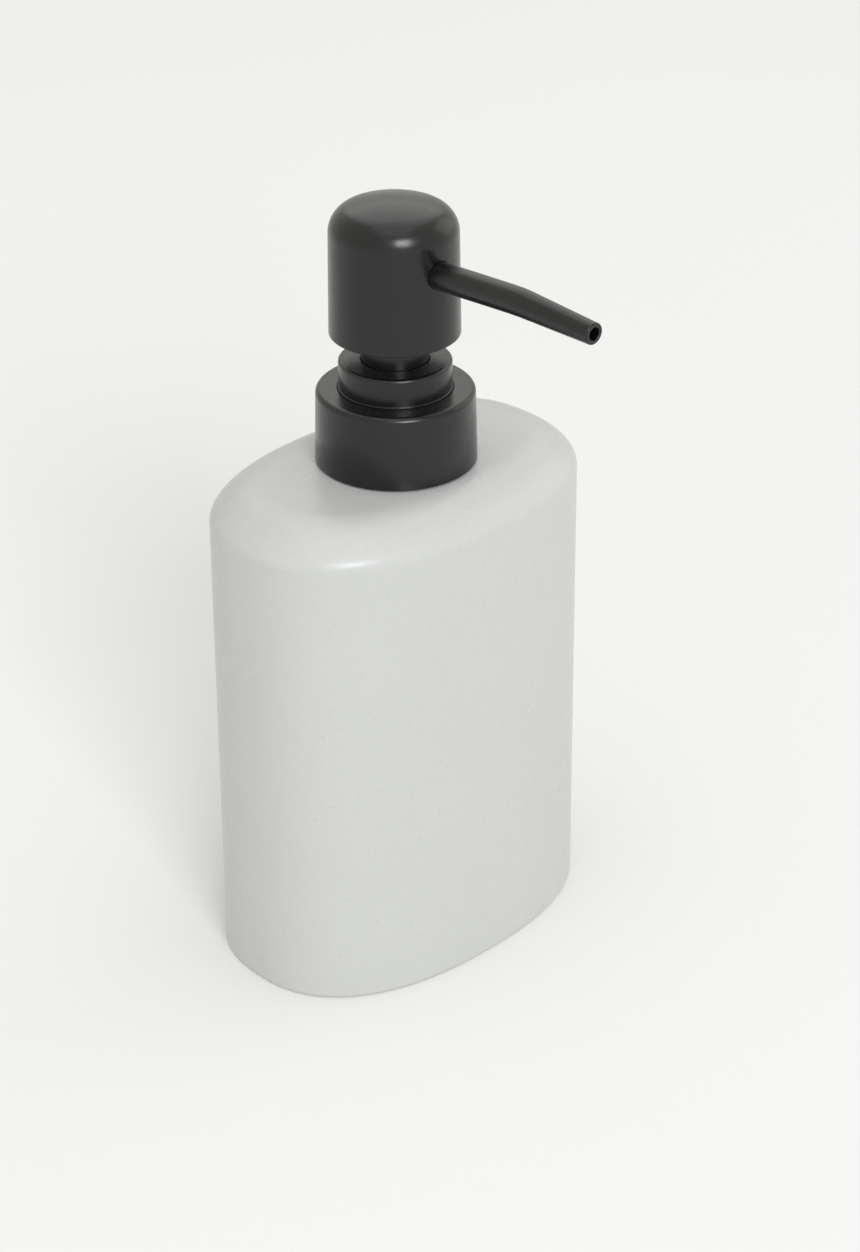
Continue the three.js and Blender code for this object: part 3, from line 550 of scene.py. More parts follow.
def threaded_ring(name, corners, wall, depth, start, span):
    """
    A revolved ring whose wall at one radius carries a thread between two heights: the rows on
    that wall are close together, and each of their points moves out by the thread's height.
    """
    outline = rounded_outline(corners)
    grid = revolve(outline)
    on_wall = np.abs(outline[:, 0] - wall) < 1e-6
    rows = np.flatnonzero(on_wall)
    downwards = outline[rows[0], 1] > outline[rows[-1], 1]
    heights = np.arange(span[0], span[1], THREAD_ROW)
    if downwards:
        heights = heights[::-1]
    inner = outline[rows, 1]
    kept_before = rows[(inner > span[1]) if downwards else (inner < span[0])]
    kept_after = rows[(inner < span[0]) if downwards else (inner > span[1])]
    angle = np.arange(ROUND_SIDES) * TAU / ROUND_SIDES
    radius = wall + depth * thread_shift(angle[None, :], heights[:, None], start)
    wall_rows = np.stack([
        radius * np.cos(angle), radius * np.sin(angle), heights[:, None] + 0 * radius,
    ], axis=-1)
    before = grid[:rows[0]]
    after = grid[rows[-1] + 1:]
    whole = np.vstack([before, grid[kept_before], wall_rows, grid[kept_after], after])
    return closed_mesh(name, whole, ring=True)


def threaded_neck():
    flange, bottom, rim = box_size("neck_insert")
    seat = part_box("collar_cover")[0].z
    radius = neck_radius()
    bore = radius - NECK_WALL
    start = rim - THREAD_HEADROOM - THREAD_LEAD * THREAD_TURNS
    tube = radius - NECK_STEP
    corners = [
        (bore, bottom, 0.3 * MM), (tube, bottom, 0.3 * MM), (tube, seat, 0),
        (flange, seat, 0.2 * MM), (flange, seat + NECK_FLANGE, 0.3 * MM),
        (radius, seat + NECK_FLANGE, 0), (radius, rim, 0.35 * MM), (bore, rim, 0.35 * MM),
    ]
    span = (seat + NECK_FLANGE + 0.5 * MM, rim - 0.4 * MM)
    return threaded_ring("threaded_neck", corners, radius, THREAD_DEPTH, start, span)


def inner_cap():
    outside, bottom, top = box_size("screw_cap")
    bore = outside - CAP_WALL
    rim = box_size("neck_insert")[2]
    start = rim - THREAD_HEADROOM - THREAD_LEAD * (THREAD_TURNS + 0.5)
    hole = spigot_radius() + RUN_GAP
    corners = [
        (bore, bottom, 0.25 * MM), (outside, bottom, 0.3 * MM), (outside, top, 0.4 * MM),
        (hole, top, 0.2 * MM), (hole, top - CAP_PLATE, 0.2 * MM), (bore, top - CAP_PLATE, 0),
    ]
    span = (bottom + 0.3 * MM, top - CAP_PLATE - 1.2 * MM)
    return threaded_ring("inner_cap", corners, bore, -THREAD_DEPTH, start, span)


def collar_shell():
    """A smooth tapered skirt with a rounded top edge and a softened hole round the step."""
    foot, bottom, top = box_size("collar_cover")
    shoulder = foot - COLLAR_TAPER
    bore = box_size("screw_cap")[0] + COLLAR_GAP
    hole = box_size("step_ring")[0] + STEP_BEAD + SEAM
    return turned_ring("collar_shell", [
        (bore, bottom, 0.2 * MM), (foot, bottom, 0.25 * MM), (shoulder, top, COLLAR_EDGE),
        (hole, top, 0.14 * MM), (hole, top - COLLAR_PLATE, 0.1 * MM),
        (bore, top - COLLAR_PLATE, 0.3 * MM),
    ])


# ---------------------------------------------------------------------------------------
# Fixed pieces of the pump

STEP_WALL = 1.5 * MM
STEP_PLATE = 1.45 * MM
STEP_EDGE = 0.7 * MM
STEP_BEAD = 0.16 * MM  # how far the ring's foot stands out
BEAD_HEIGHT = 0.3 * MM
LOCK_WALL = 0.95 * MM
LOCK_FLANGE = 0.8 * MM
LOCK_FLOOR = 1.3 * MM
LOCK_SPIGOT = 3.4 * MM
BARREL_WALL = 1.1 * MM
BARREL_CLEARANCE = 0.3 * MM
TUBE_SOCKET_GAP = 0.3 * MM
TUBE_WALL = 0.9 * MM
TUBE_CUT = math.radians(35)
BALL_ROOM = 1.0 * MM
BALL_ROWS = 49  # with one at each pole, where a fan stands instead
SEAT_HOLE = 1.4 * MM
SEAT_THICKNESS = 1.0 * MM
CAGE_PLATE = 1.2 * MM
PILOT_WALL = 0.8 * MM
CAGE_HOLE = 0.9 * MM
CAGE_HOLES = 4
CAGE_RIM = 0.55 * MM
DRILL_LENGTH = 5.0 * MM
DRILL_SIDES = 32
STEM_GAP = 0.3 * MM
STEM_RADIUS = 3.4 * MM
GUIDE_RADIUS = 7.05 * MM  # the head's sleeve, which slides in the step ring


def spigot_radius():
    """The lock sleeve's upper part, which plugs into the step ring."""
    return box_size("step_ring")[0] - STEP_WALL - RUN_GAP


def step_cap():
    """A low ring with a rounded top edge and a fine bead where it stands in the collar."""
    radius, bottom, top = box_size("step_ring")
    bore = GUIDE_RADIUS + SEAM
    inside = radius - STEP_WALL
    foot = radius + STEP_BEAD
    bead_top = box_size("collar_cover")[2] + BEAD_HEIGHT
    return turned_ring("step_cap", [
        (inside, bottom, 0.2 * MM), (foot, bottom, 0.2 * MM), (foot, bead_top, 0.12 * MM),
        (radius, bead_top, 0), (radius, top, STEP_EDGE),
        (bore, top, 0.16 * MM), (bore, top - STEP_PLATE, 0.1 * MM),
        (inside, top - STEP_PLATE, 0.3 * MM),
    ])


def guide_lock():
    flange, bottom, top = box_size("lock_sleeve")
    bore = GUIDE_RADIUS + RUN_GAP
    outside = bore + LOCK_WALL
    hole = STEM_RADIUS + STEM_GAP
    seat = box_size("pump_cylinder")[2] + RUN_GAP
    spigot = spigot_radius()
    spigot_top = box_size("step_ring")[1] + LOCK_SPIGOT
    edge = 0.15 * MM
    return turned_ring("guide_lock", [
        (hole, bottom, edge), (outside, bottom, 0.3 * MM), (outside, seat, 0),
        (flange, seat, edge), (flange, seat + LOCK_FLANGE, edge),
        (spigot, seat + LOCK_FLANGE, 0), (spigot, spigot_top, 0.3 * MM),
        (outside, spigot_top, 0), (outside, top, 0.3 * MM), (bore, top, 0.3 * MM),
        (bore, bottom + LOCK_FLOOR, 0.3 * MM), (hole, bottom + LOCK_FLOOR, edge),
    ], INNER_SIDES)


def gasket():
    radius, bottom, top = box_size("neck_gasket")
    bore = GUIDE_RADIUS + RUN_GAP + LOCK_WALL + RUN_GAP + BARREL_WALL + RUN_GAP
    edge = 0.35 * MM
    return turned_ring("rim_gasket", [
        (bore, bottom, edge), (radius, bottom, edge), (radius, top, edge), (bore, top, edge),
    ], INNER_SIDES)


def pump_barrel():
    flange, bottom, top = box_size("pump_cylinder")
    lock_bottom = box_size("lock_sleeve")[1]
    cage_radius, cage_bottom, _ = box_size("ball_cage")
    ball_radius, ball_bottom, ball_top = box_size("inlet_ball")
    upper_bore = GUIDE_RADIUS + RUN_GAP + LOCK_WALL + RUN_GAP
    upper = upper_bore + BARREL_WALL
    bore = cage_radius + BARREL_CLEARANCE
    outside = bore + BARREL_WALL
    seat = box_size("neck_gasket")[2] + RUN_GAP
    ledge = lock_bottom - RUN_GAP
    floor = cage_bottom - RUN_GAP
    socket = box_size("dip_tube")[0] + TUBE_SOCKET_GAP
    socket_outside = ball_radius + BALL_ROOM + BARREL_WALL
    socket_top = box_size("dip_tube")[2] + RUN_GAP
    chamber = ball_radius + BALL_ROOM
    hole_top = socket_top + SEAT_THICKNESS
    seat_top = hole_top + chamber - SEAT_HOLE
    edge = 0.15 * MM
    return turned_ring("pump_barrel", [
        (socket, bottom, edge), (socket_outside, bottom, 0.3 * MM),
        (socket_outside, seat_top, 0.5 * MM), (outside, floor - BARREL_WALL, 0.8 * MM),
        (outside, ledge - BARREL_WALL, 0.2 * MM), (upper, ledge - BARREL_WALL, 0.4 * MM),
        (upper, seat, 0), (flange, seat, edge), (flange, top, edge), (upper_bore, top, 0.3 * MM),
        (upper_bore, ledge, 0.2 * MM), (bore, ledge, 0.3 * MM), (bore, floor, 0.2 * MM),
        (chamber, floor, edge), (chamber, seat_top, 0.2 * MM), (SEAT_HOLE, hole_top, edge),
        (SEAT_HOLE, socket_top, edge), (socket, socket_top, 0),
    ], INNER_SIDES)


def drill_bar(radius, middle, length):
    """A closed round tool along Z about a middle point."""
    outline = np.array([[0.02 * radius, -length / 2], [radius, -length / 2],
                        [radius, length / 2], [0.02 * radius, length / 2]])
    return closed_mesh("drill", revolve(outline, DRILL_SIDES) + np.array(middle))


def valve_cage():
    radius, bottom, top = box_size("ball_cage")
    plate = bottom + CAGE_PLATE
    pilot = pilot_radius()
    pilot_bore = pilot - PILOT_WALL
    circle = pilot_bore - CAGE_RIM - CAGE_HOLE
    near_axis = 0.05 * MM
    edge = 0.2 * MM
    mesh = turned_solid("valve_cage", [
        (near_axis, bottom, 0), (radius, bottom, edge), (radius, plate, edge),
        (pilot, plate, edge), (pilot, top, edge), (pilot_bore, top, edge),
        (pilot_bore, plate, edge), (near_axis, plate, 0),
    ], INNER_SIDES)
    turns = (np.arange(CAGE_HOLES) + 0.5) * TAU / CAGE_HOLES
    drills = [
        drill_bar(CAGE_HOLE, (circle * math.cos(t), circle * math.sin(t), plate), DRILL_LENGTH)
        for t in turns
    ]
    return cut_away(mesh, *drills)


def steel_ball():
    """Rows of latitude: radius cos(latitude), height sin(latitude)."""
    radius, bottom, top = box_size("inlet_ball")
    latitude = np.linspace(-TAU / 4, TAU / 4, BALL_ROWS)[1:-1]
    outline = np.stack([radius * np.cos(latitude),
                        (bottom + top) / 2 + radius * np.sin(latitude)], axis=-1)
    return closed_mesh("steel_ball", revolve(outline, INNER_SIDES))


def suction_tube():
    """
    A plain tube whose lower end is cut on a slope: each point drops in proportion to its
    height, so that the lowest row lies on the plane z = low + (x + radius) tan(cut).
    """
    radius, bottom, top = box_size("dip_tube")
    edge = 0.12 * MM
    corners = [
        (radius - TUBE_WALL, bottom, edge), (radius, bottom, edge),
        (radius, top, edge), (radius - TUBE_WALL, top, edge),
    ]
    grid = revolve(rounded_outline(corners), TUBE_SIDES)
    rise = (grid[..., 0] + radius) * math.tan(TUBE_CUT)
    share = (top - grid[..., 2]) / (top - bottom)
    grid[..., 2] += rise * share
    return closed_mesh("suction_tube", grid, ring=True)


SPRING_WIRE = 0.9 * MM
SPRING_COILS = 7.5
SPRING_CLOSED = 1.0  # coils lying closed at each end
SPRING_SLACK = 1.15  # how far a closed coil rises, in wire thicknesses
SPRING_CLEARANCE = 1.25 * MM
COIL_STEPS = 64  # along each coil
WIRE_SIDES = 16


def spring_outside():
    return box_size("ball_cage")[0] + BARREL_CLEARANCE - SPRING_CLEARANCE


def pilot_radius():
    return spring_outside() - SPRING_WIRE - RUN_GAP


def coil_spring():
    """
    A round wire carried along a helix. Its rise is slow over the closed coils at each end and
    even between them; the wire's circle lies across the helix's own direction.
    """
    _, bottom, top = box_size("return_spring")
    wire = SPRING_WIRE / 2
    radius = spring_outside() - wire
    travel = top - bottom - SPRING_WIRE
    closed_rise = SPRING_WIRE * SPRING_CLOSED * SPRING_SLACK
    coil = np.linspace(0, SPRING_COILS, int(SPRING_COILS * COIL_STEPS) + 1)
    knots = [0, SPRING_CLOSED, SPRING_COILS - SPRING_CLOSED, SPRING_COILS]
    rises = [0, closed_rise, travel - closed_rise, travel]
    rise = np.interp(coil, knots, rises)
    slope = np.gradient(rise, coil * TAU)
    angle = coil * TAU
    outward = np.stack([np.cos(angle), np.sin(angle), 0 * angle], axis=-1)
    along = np.stack([-radius * np.sin(angle), radius * np.cos(angle), slope], axis=-1)
    along /= np.linalg.norm(along, axis=-1, keepdims=True)
    across = np.cross(outward, along)
    centre = radius * outward
    centre[:, 2] = bottom + wire + rise
    around = np.arange(WIRE_SIDES) * TAU / WIRE_SIDES
    grid = (centre[:, None]
            + wire * np.cos(around)[None, :, None] * outward[:, None]
            + wire * np.sin(around)[None, :, None] * across[:, None])
    grid[..., 2] = np.clip(grid[..., 2], bottom, top)
    return closed_mesh("coil_spring", grid)


# ---------------------------------------------------------------------------------------
# Moving pieces of the pump

STEM_BORE = 2.0 * MM
STEM_STOP = 1.5 * MM
STEM_TAIL = 2.8 * MM
ROD_RADIUS = 2.2 * MM
ROD_CORE = 1.0 * MM
ROD_FIN = 0.9 * MM
ROD_FLANGE = 1.0 * MM
ROD_PILOT = 2.4 * MM
ROD_PIN = 8.0 * MM
PISTON_WAIST = 0.9 * MM
PISTON_LIP = 1.0 * MM


def hollow_stem():
    stop, bottom, top = box_size("stem")
    stop_bottom = bottom + STEM_TAIL
    stop_top = stop_bottom + STEM_STOP
    radius = STEM_RADIUS
    edge = 0.2 * MM
    return turned_ring("hollow_stem", [
        (STEM_BORE, bottom, edge), (radius, bottom, edge), (radius, stop_bottom, 0),
        (stop, stop_bottom, edge), (stop, stop_top, edge), (radius, stop_top, 0),
        (radius, top, edge), (STEM_BORE, top, edge),
    ], INNER_SIDES)


def finned_rod():
    """
    A revolved rod whose top is a cross of fins: over that stretch the radius is the smaller
    of the pin's and half the fin's thickness / |sin| from the nearest fin, but never less
    than the core's.
    """
    flange, bottom, top = box_size("piston_rod")
    seat = bottom + ROD_PILOT
    shoulder = top - ROD_PIN - RUN_GAP
    pin = STEM_BORE - STEM_GAP
    near_axis = 0.05 * MM
    edge = 0.2 * MM
    outline = rounded_outline([
        (near_axis, bottom, 0), (pilot_radius(), bottom, 0.4 * MM), (pilot_radius(), seat, 0),
        (flange, seat, edge), (flange, seat + ROD_FLANGE, edge),
        (ROD_RADIUS, seat + ROD_FLANGE, 0.2 * MM), (ROD_RADIUS, shoulder, edge),
        (pin, shoulder, 0), (pin, top, edge), (near_axis, top, 0),
    ], closed=False)
    grid = revolve(outline)
    angle = np.arange(ROUND_SIDES) * TAU / ROUND_SIDES
    from_fin = np.minimum(np.abs(np.sin(angle)), np.abs(np.cos(angle)))
    cross = np.clip(ROD_FIN / 2 / np.maximum(from_fin, 1e-6), ROD_CORE, pin) / pin
    on_pin = outline[:, 1] > shoulder + 1e-7
    grid[on_pin, :, :2] *= cross[None, :, None]
    return closed_mesh("finned_rod", grid)


def sliding_piston():
    radius, bottom, top = box_size("piston")
    waist = radius - PISTON_WAIST
    bore = ROD_RADIUS + RUN_GAP
    edge = 0.15 * MM
    return turned_ring("sliding_piston", [
        (bore, bottom, edge), (radius, bottom, 0.3 * MM), (radius, bottom + PISTON_LIP, edge),
        (waist, bottom + PISTON_LIP + PISTON_WAIST / 2, 0.3 * MM),
        (waist, top - PISTON_LIP - PISTON_WAIST / 2, 0.3 * MM),
        (radius, top - PISTON_LIP, edge), (radius, top, 0.3 * MM), (bore, top, edge),
    ], INNER_SIDES)


# ---------------------------------------------------------------------------------------
# Head and spout

HEAD_WALL = 1.31 * MM
HEAD_TAPER = 0.32 * MM
HEAD_EDGE = 5.84 * MM
HEAD_CROWN = 0.98 * MM
HEAD_CEILING = 2.4 * MM
RIM_EDGE = 0.35 * MM
CORE_HUB = 8.0 * MM
CORE_FLANGE = 2.0 * MM
CORE_LOWER = 9.1 * MM  # the lower flange's underside above the head's rim
GUIDE_WALL = 1.15 * MM
SOCKET_WALL = 1.2 * MM
SOCKET_DEPTH = 8.5 * MM
RISER = 1.6 * MM
SPOUT_ROOT_RISE = 15.55 * MM  # centre line above the rim, at the spout's inner end
SPOUT_BEND_RISE = 17.21 * MM
SPOUT_TIP_RISE = 16.53 * MM
SPOUT_ROOT = 4.0 * MM
SPOUT_BEND = 35.66 * MM
SPOUT_TIP = 55.4 * MM
SPOUT_BEND_LENGTH = 6.5 * MM
SPOUT_ROOT_RADIUS = 2.95 * MM
SPOUT_BEND_RADIUS = 2.84 * MM
SPOUT_TIP_RADIUS = 2.22 * MM
SPOUT_BORE = 1.35 * MM
SPOUT_SEAT = 0.05 * MM  # gap round the spout where it enters the head
SEAT_CHAMFER = 0.08 * MM
HEAD_SIDES = 240
CORE_SIDES = 128
SPOUT_SIDES = 96
DRAFT_ROWS = 12  # up the head's side
HEAD_EDGE_ROWS = 29
CROWN_ROWS = 24
CROWN_END = 0.0015  # radians short of the axis, where a fan closes the dome
RUN_ROWS = 60  # along each outer stretch of the spout
BORE_ROWS = 80
TOOL_REACH = 2.0 * MM  # how far the hole's tool stands out of the head
TOOL_DEPTH = 4.0 * MM  # how far it goes in


def head_outline():
    """
    The head's section: a drafted side, a rounded edge and a domed top. The dome's arc touches
    the edge's arc from outside: its radius is (c^2 + h^2 - e^2) / (2 crown), where c and h are
    the edge centre's distance from the axis and depth below the top, and e its radius.
    """
    radius, rim, top = box_size("head_shell")
    upper = radius - HEAD_TAPER
    centre = upper - HEAD_EDGE
    depth = HEAD_CROWN + HEAD_EDGE
    dome = (centre ** 2 + depth ** 2 - HEAD_EDGE ** 2) / (2 * HEAD_CROWN)
    meeting = math.acos(centre / (dome - HEAD_EDGE))
    side = rounded_outline(
        [(radius - HEAD_WALL, rim, 0), (radius, rim, RIM_EDGE), (upper, top - depth, 0)],
        closed=False)
    draft = np.linspace(0, 1, DRAFT_ROWS)[1:-1, None]
    side = np.vstack([side[:-1], side[-2] + draft * (side[-1] - side[-2])])
    turn = np.linspace(0, meeting, HEAD_EDGE_ROWS)
    edge = np.stack([centre + HEAD_EDGE * np.cos(turn),
                     top - depth + HEAD_EDGE * np.sin(turn)], axis=-1)
    turn = np.linspace(meeting, TAU / 4 - CROWN_END, CROWN_ROWS)[1:]
    crown = np.stack([dome * np.cos(turn), top - dome + dome * np.sin(turn)], axis=-1)
    return side, edge, crown


def head_cup():
    """The head's cup, with a chamfered round hole that the spout stands in."""
    radius, rim, top = box_size("head_shell")
    inner = radius - HEAD_WALL
    ceiling = top - HEAD_CEILING
    side, edge, crown = head_outline()
    inside = rounded_outline([
        (0.05 * MM, ceiling, 0), (inner - HEAD_TAPER, ceiling, HEAD_EDGE - HEAD_WALL),
        (inner, rim, 0)], closed=False)
    outline = np.vstack([inside[:-1], side, edge, crown])
    mesh = closed_mesh("head_cup", revolve(outline, HEAD_SIDES))
    return cut_away(mesh, spout_hole(radius - HEAD_TAPER / 2))


def spout_hole(head_radius):
    """
    A tool along the spout's first stretch: a bar just wider than the spout, flared at 45
    degrees from a little under the head's round face, which at an angle t round the bar lies
    sqrt(R^2 - (r cos t)^2) from the head's axis.
    """
    bore = SPOUT_ROOT_RADIUS + SPOUT_SEAT
    angle = np.arange(SPOUT_SIDES) * TAU / SPOUT_SIDES
    face = np.sqrt(head_radius ** 2 - (bore * np.cos(angle)) ** 2)
    inner_end = np.full(SPOUT_SIDES, head_radius - TOOL_DEPTH)
    outer_end = face + TOOL_REACH
    reach = np.stack([inner_end, inner_end, face - SEAT_CHAMFER, outer_end, outer_end])
    flare = np.array([0.02 * bore, bore, bore, bore + SEAT_CHAMFER + TOOL_REACH, 0.02 * bore])
    return closed_mesh("spout_hole", spout_grid(reach - SPOUT_ROOT, flare[:, None] + 0 * reach))


def spout_line(distance):
    """
    Points and headings along the spout's centre line at distances from its inner end. The
    heading turns smoothly from the first stretch's slope to the second's about the bend, and
    the line is its running sum.
    """
    rim = box_size("head_shell")[1]
    first_run = SPOUT_BEND - SPOUT_ROOT
    second_run = SPOUT_TIP - SPOUT_BEND
    first_slope = math.atan2(SPOUT_BEND_RISE - SPOUT_ROOT_RISE, first_run)
    second_slope = math.atan2(SPOUT_TIP_RISE - SPOUT_BEND_RISE, second_run)
    bend_at = math.hypot(first_run, SPOUT_BEND_RISE - SPOUT_ROOT_RISE)
    step = 0.02 * MM
    walk = np.arange(-30 * MM, bend_at + 40 * MM, step)
    share = np.clip((walk - bend_at) / SPOUT_BEND_LENGTH + 0.5, 0, 1)
    heading = first_slope + (second_slope - first_slope) * share * share * (3 - 2 * share)
    out = np.cumsum(np.cos(heading)) * step
    up = np.cumsum(np.sin(heading)) * step
    start = int(np.argmin(np.abs(walk)))
    out += SPOUT_ROOT - out[start]
    up += rim + SPOUT_ROOT_RISE - up[start]
    return (np.interp(distance, walk, out), np.interp(distance, walk, up),
            np.interp(distance, walk, heading))


def spout_length():
    first = math.hypot(SPOUT_BEND - SPOUT_ROOT, SPOUT_BEND_RISE - SPOUT_ROOT_RISE)
    second = math.hypot(SPOUT_TIP - SPOUT_BEND, SPOUT_TIP_RISE - SPOUT_BEND_RISE)
    return first, first + second


def spout_grid(distance, radius):
    """Circles of a radius at each distance, standing across the spout's centre line."""
    sides = radius.shape[1]
    angle = np.arange(sides) * TAU / sides
    out, up, heading = spout_line(distance)
    lift = radius * np.sin(angle)
    return np.stack([
        radius * np.cos(angle),
        -(out - lift * np.sin(heading)),
        up + lift * np.cos(heading),
    ], axis=-1)


def angled_spout():
    """
    The spout's wall carried along its centre line: its radius falls a little to the bend and
    more to the tip, with a softened lip and a bore.
    """
    bend_at, length = spout_length()
    section = rounded_outline([
        (SPOUT_ROOT_RADIUS, 0, 0.2 * MM), (SPOUT_BEND_RADIUS, bend_at, 0),
        (SPOUT_TIP_RADIUS, length, 0.3 * MM), (SPOUT_BORE, length, 0.2 * MM),
        (SPOUT_BORE, 0, 0.1 * MM),
    ])
    outer_runs = np.linspace(0.01, 0.99, RUN_ROWS)[:, None]
    corner = np.array([SPOUT_BEND_RADIUS, bend_at])
    at_bend = int(np.argmin(np.linalg.norm(section - corner, axis=1)))
    before, after = section[at_bend - 2], section[at_bend + 2]
    first = before + outer_runs * (corner - before)
    second = corner + outer_runs * (after - corner)
    section = np.vstack([section[:at_bend - 1], first, second, section[at_bend + 2:]])
    bore_runs = np.linspace(0, 1, BORE_ROWS)[1:-1, None]
    inside = np.flatnonzero(np.abs(section[:, 0] - SPOUT_BORE) < 1e-9)
    far, near = section[inside[0]], section[inside[-1]]
    bore = far + bore_runs * (near - far)
    section = np.vstack([section[:inside[0] + 1], bore, section[inside[-1]:]])
    radius = section[:, :1] + np.zeros((1, SPOUT_SIDES))
    distance = section[:, 1:] + np.zeros((1, SPOUT_SIDES))
    return closed_mesh("angled_spout", spout_grid(distance, radius), ring=True)


def spout_bar(radius, start, end):
    """A closed round tool along the spout's first stretch."""
    reach = np.array([start, start, end, end])[:, None] - SPOUT_ROOT + np.zeros((1, TUBE_SIDES))
    size = np.array([0.02, 1, 1, 0.02])[:, None] * radius + np.zeros((1, TUBE_SIDES))
    return closed_mesh("spout_bar", spout_grid(reach, size))


def head_spool():
    """The head's core: a guide sleeve, a stem socket and two flanges that hold the cup."""
    flange, guide_foot, top = box_size("head_core")
    rim = box_size("head_shell")[1]
    stem_top = box_size("stem")[2] + RUN_GAP
    lower = rim + CORE_LOWER
    socket = STEM_RADIUS + STEM_GAP
    socket_outside = socket + SOCKET_WALL
    guide = GUIDE_RADIUS
    guide_bore = guide - GUIDE_WALL
    channel_top = rim + SPOUT_ROOT_RISE + RISER
    edge = 0.2 * MM
    near_axis = 0.05 * MM
    mesh = turned_solid("head_spool", [
        (near_axis, channel_top, 0), (RISER, channel_top, edge), (RISER, stem_top, edge),
        (socket, stem_top, edge), (socket, lower - SOCKET_DEPTH, edge),
        (socket_outside, lower - SOCKET_DEPTH, edge),
        (socket_outside, lower - CORE_FLANGE, edge), (guide_bore, lower - CORE_FLANGE, edge),
        (guide_bore, guide_foot, edge), (guide, guide_foot, edge), (guide, lower, 0.3 * MM),
        (flange, lower, edge), (flange, lower + CORE_FLANGE, edge),
        (CORE_HUB, lower + CORE_FLANGE, edge), (CORE_HUB, top - CORE_FLANGE, edge),
        (flange, top - CORE_FLANGE, edge), (flange, top, edge), (near_axis, top, 0),
    ], CORE_SIDES)
    socket_tool = spout_bar(SPOUT_ROOT_RADIUS + RUN_GAP, SPOUT_ROOT - RUN_GAP, 2 * flange)
    channel_tool = spout_bar(SPOUT_BORE, 0, 2 * SPOUT_ROOT)
    return cut_away(mesh, socket_tool, channel_tool)


# ---------------------------------------------------------------------------------------
# Camera, light and floor

CAMERA_AZIMUTH = math.radians(-43.4963)
CAMERA_ELEVATION = math.radians(29.5494)
CAMERA_ROLL = math.radians(-0.2911)
CAMERA_DISTANCE = 577.99 * MM
CAMERA_LENS = 77.862  # millimetres
CAMERA_SENSOR = 36  # millimetres, on its longer side
AIM_HEIGHT = 90 * MM
AIM_RIGHT = 6.864 * MM
AIM_UP = -16.369 * MM
FLOOR_REACH = 6.0  # from the object to each edge of the floor


def direction(azimuth, elevation):
    """The unit vector from the object towards an azimuth and elevation in radians."""
    return Vector((
        math.sin(azimuth) * math.cos(elevation),
        -math.cos(azimuth) * math.cos(elevation),
        math.sin(elevation),
    ))


def add_camera():
    back = direction(CAMERA_AZIMUTH, CAMERA_ELEVATION)
    right = Vector((math.cos(CAMERA_AZIMUTH), math.sin(CAMERA_AZIMUTH), 0))
    up = back.cross(right)
    aim = Vector((0, 0, AIM_HEIGHT)) + AIM_RIGHT * right + AIM_UP * up
    rolled_right = right * math.cos(CAMERA_ROLL) + up * math.sin(CAMERA_ROLL)
    rolled_up = up * math.cos(CAMERA_ROLL) - right * math.sin(CAMERA_ROLL)
    turn = Matrix((rolled_right, rolled_up, back)).transposed()
    data = bpy.data.cameras.new("camera")
    data.lens = CAMERA_LENS
    data.sensor_width = CAMERA_SENSOR
    data.clip_start = 0.01
    data.clip_end = 20
    camera = bpy.data.objects.new("camera", data)
    camera.matrix_world = Matrix.Translation(aim + CAMERA_DISTANCE * back) @ turn.to_4x4()
    bpy.context.scene.collection.objects.link(camera)
    bpy.context.scene.camera = camera


def softbox(name, azimuth, elevation, distance, size, power, colour=(1, 1, 1)):
    """A square soft light that looks at the object's middle."""
    data = bpy.data.lights.new(name, "AREA")
    data.shape = "SQUARE"
    data.size = size
    data.energy = power
    data.color = colour
    back = direction(math.radians(azimuth), math.radians(elevation))
    lamp = bpy.data.objects.new(name, data)
    lamp.location = Vector((0, 0, AIM_HEIGHT)) + back * distance
    lamp.rotation_euler = back.to_track_quat("Z", "Y").to_euler()
    bpy.context.scene.collection.objects.link(lamp)
    return lamp


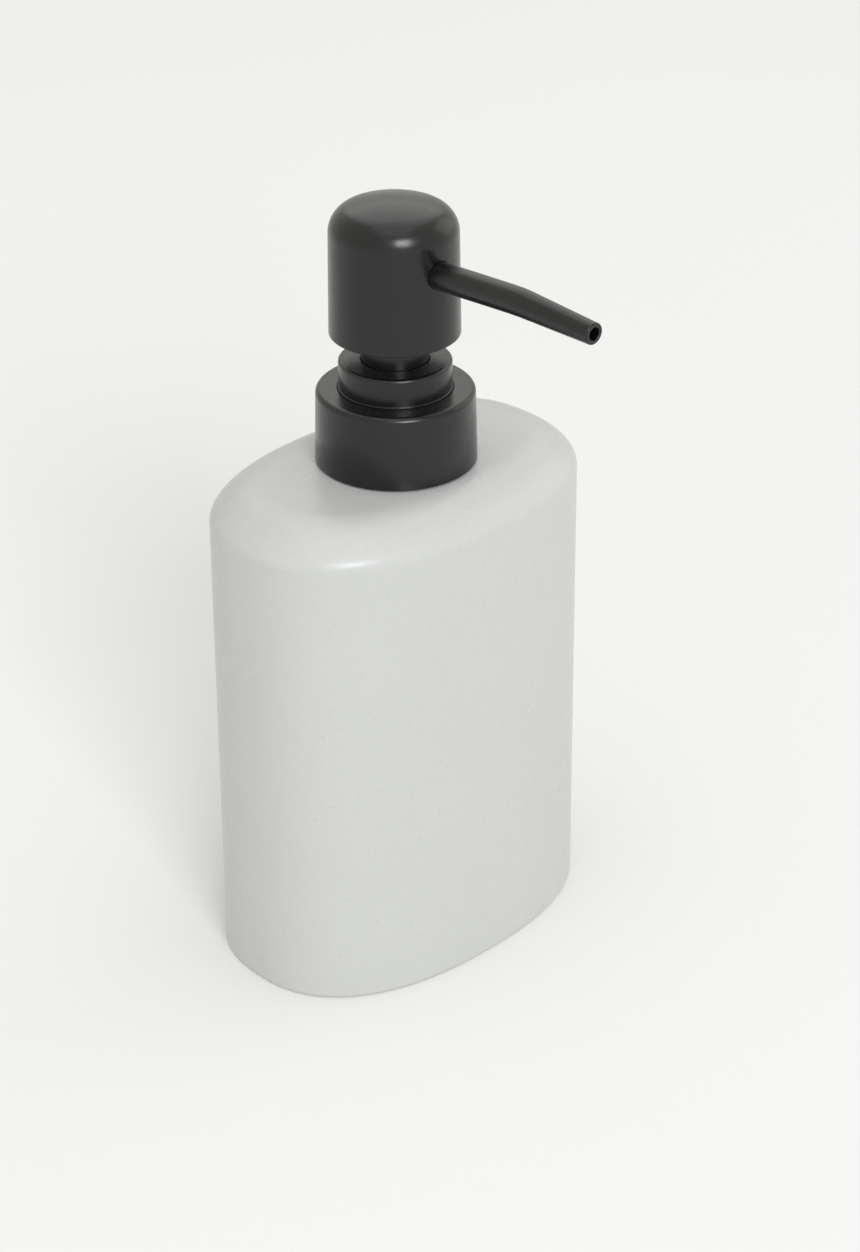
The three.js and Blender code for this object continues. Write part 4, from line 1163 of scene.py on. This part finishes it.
def add_stage():
    """
    A wide pale floor, even light from all round and softboxes: in front, overhead,
    at one side, and one behind that shows only in reflections.
    """
    world = bpy.data.worlds.new("studio")
    world.use_nodes = True
    background = world.node_tree.nodes["Background"]
    background.inputs["Color"].default_value = (1.0, 0.99, 0.96, 1)
    background.inputs["Strength"].default_value = 0.80
    bpy.context.scene.world = world
    softbox("key", -26, 28, 4.5, 1.7, 114, (0.955, 0.975, 1.0))
    softbox("overhead", -43, 80, 5.0, 4.0, 34, (0.965, 0.985, 1.0))
    softbox("side", 75, 22, 3.0, 2.0, 9)
    wash = softbox("back_wash", 136, 50, 3.0, 3.0, 22)
    wash.visible_diffuse = False

    mesh = bpy.data.meshes.new("floor")
    signs = [(-1, -1), (1, -1), (1, 1), (-1, 1)]
    corners = [(x * FLOOR_REACH, y * FLOOR_REACH, 0) for x, y in signs]
    mesh.from_pydata(corners, [], [(0, 1, 2, 3)])
    look = Finish("pale_floor")
    cloud = look.spread(look.noise(0.4, 2.0), 0.3, 0.7, 0, 1)
    look.link(look.tint(cloud, (0.768, 0.771, 0.764), (0.780, 0.783, 0.777)),
              look.shader.inputs["Base Color"])
    look.set(Roughness=0.9, Specular_IOR_Level=0.2)
    mesh.materials.append(look.material)
    floor = bpy.data.objects.new("floor", mesh)
    bpy.context.scene.collection.objects.link(floor)
    bpy.context.scene.view_settings.view_transform = "Standard"


# ---------------------------------------------------------------------------------------
# Assembly

add_camera()
add_stage()

glaze = satin_glaze()
black = black_moulding()
milky = milky_plastic("milky_moulding", (0.80, 0.80, 0.77), (0.72, 0.73, 0.71), 0.38, 0.5, 0.2)
seal = milky_plastic("soft_seal", (0.86, 0.86, 0.83), (0.80, 0.80, 0.77), 0.55, 0.7, 0.3)
tubing = milky_plastic("tubing", (0.78, 0.82, 0.83), (0.70, 0.75, 0.77), 0.22, 0.32, 0.4)
wire = drawn_steel("drawn_wire", 6.0, 0.2, 0.34)
polished = drawn_steel("polished_steel", 1.0, 0.08, 0.16)

PIECES = [
    (glazed_bottle, "bottle", "ceramic_bottle", "glazed_ceramic", glaze),
    (threaded_neck, "bottle", "neck_insert", "natural_plastic", milky),
    (gasket, "pump", "neck_gasket", "soft_seal", seal),
    (pump_barrel, "pump", "pump_cylinder", "natural_plastic", milky),
    (guide_lock, "pump", "lock_sleeve", "black_plastic", black),
    (step_cap, "pump", "step_ring", "black_plastic", black),
    (valve_cage, "pump", "ball_cage", "natural_plastic", milky),
    (suction_tube, "pump", "dip_tube", "clear_tube", tubing),
    (steel_ball, "inlet_ball", "inlet_ball", "valve_steel", polished),
    (coil_spring, "spring", "return_spring", "spring_steel", wire),
    (inner_cap, "collar", "screw_cap", "black_plastic", black),
    (collar_shell, "collar", "collar_cover", "black_plastic", black),
    (hollow_stem, "plunger", "stem", "natural_plastic", milky),
    (finned_rod, "plunger", "piston_rod", "natural_plastic", milky),
    (head_spool, "plunger", "head_core", "black_plastic", black),
    (head_cup, "plunger", "head_shell", "black_plastic", black),
    (angled_spout, "plunger", "spout", "black_plastic", black),
    (sliding_piston, "piston", "piston", "soft_seal", seal),
]
made = {}
for shape, body, node, slot, finish in PIECES:
    mesh = shape()
    made[node] = piece(mesh.name, mesh, body, node, finish)

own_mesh(made["return_spring"])
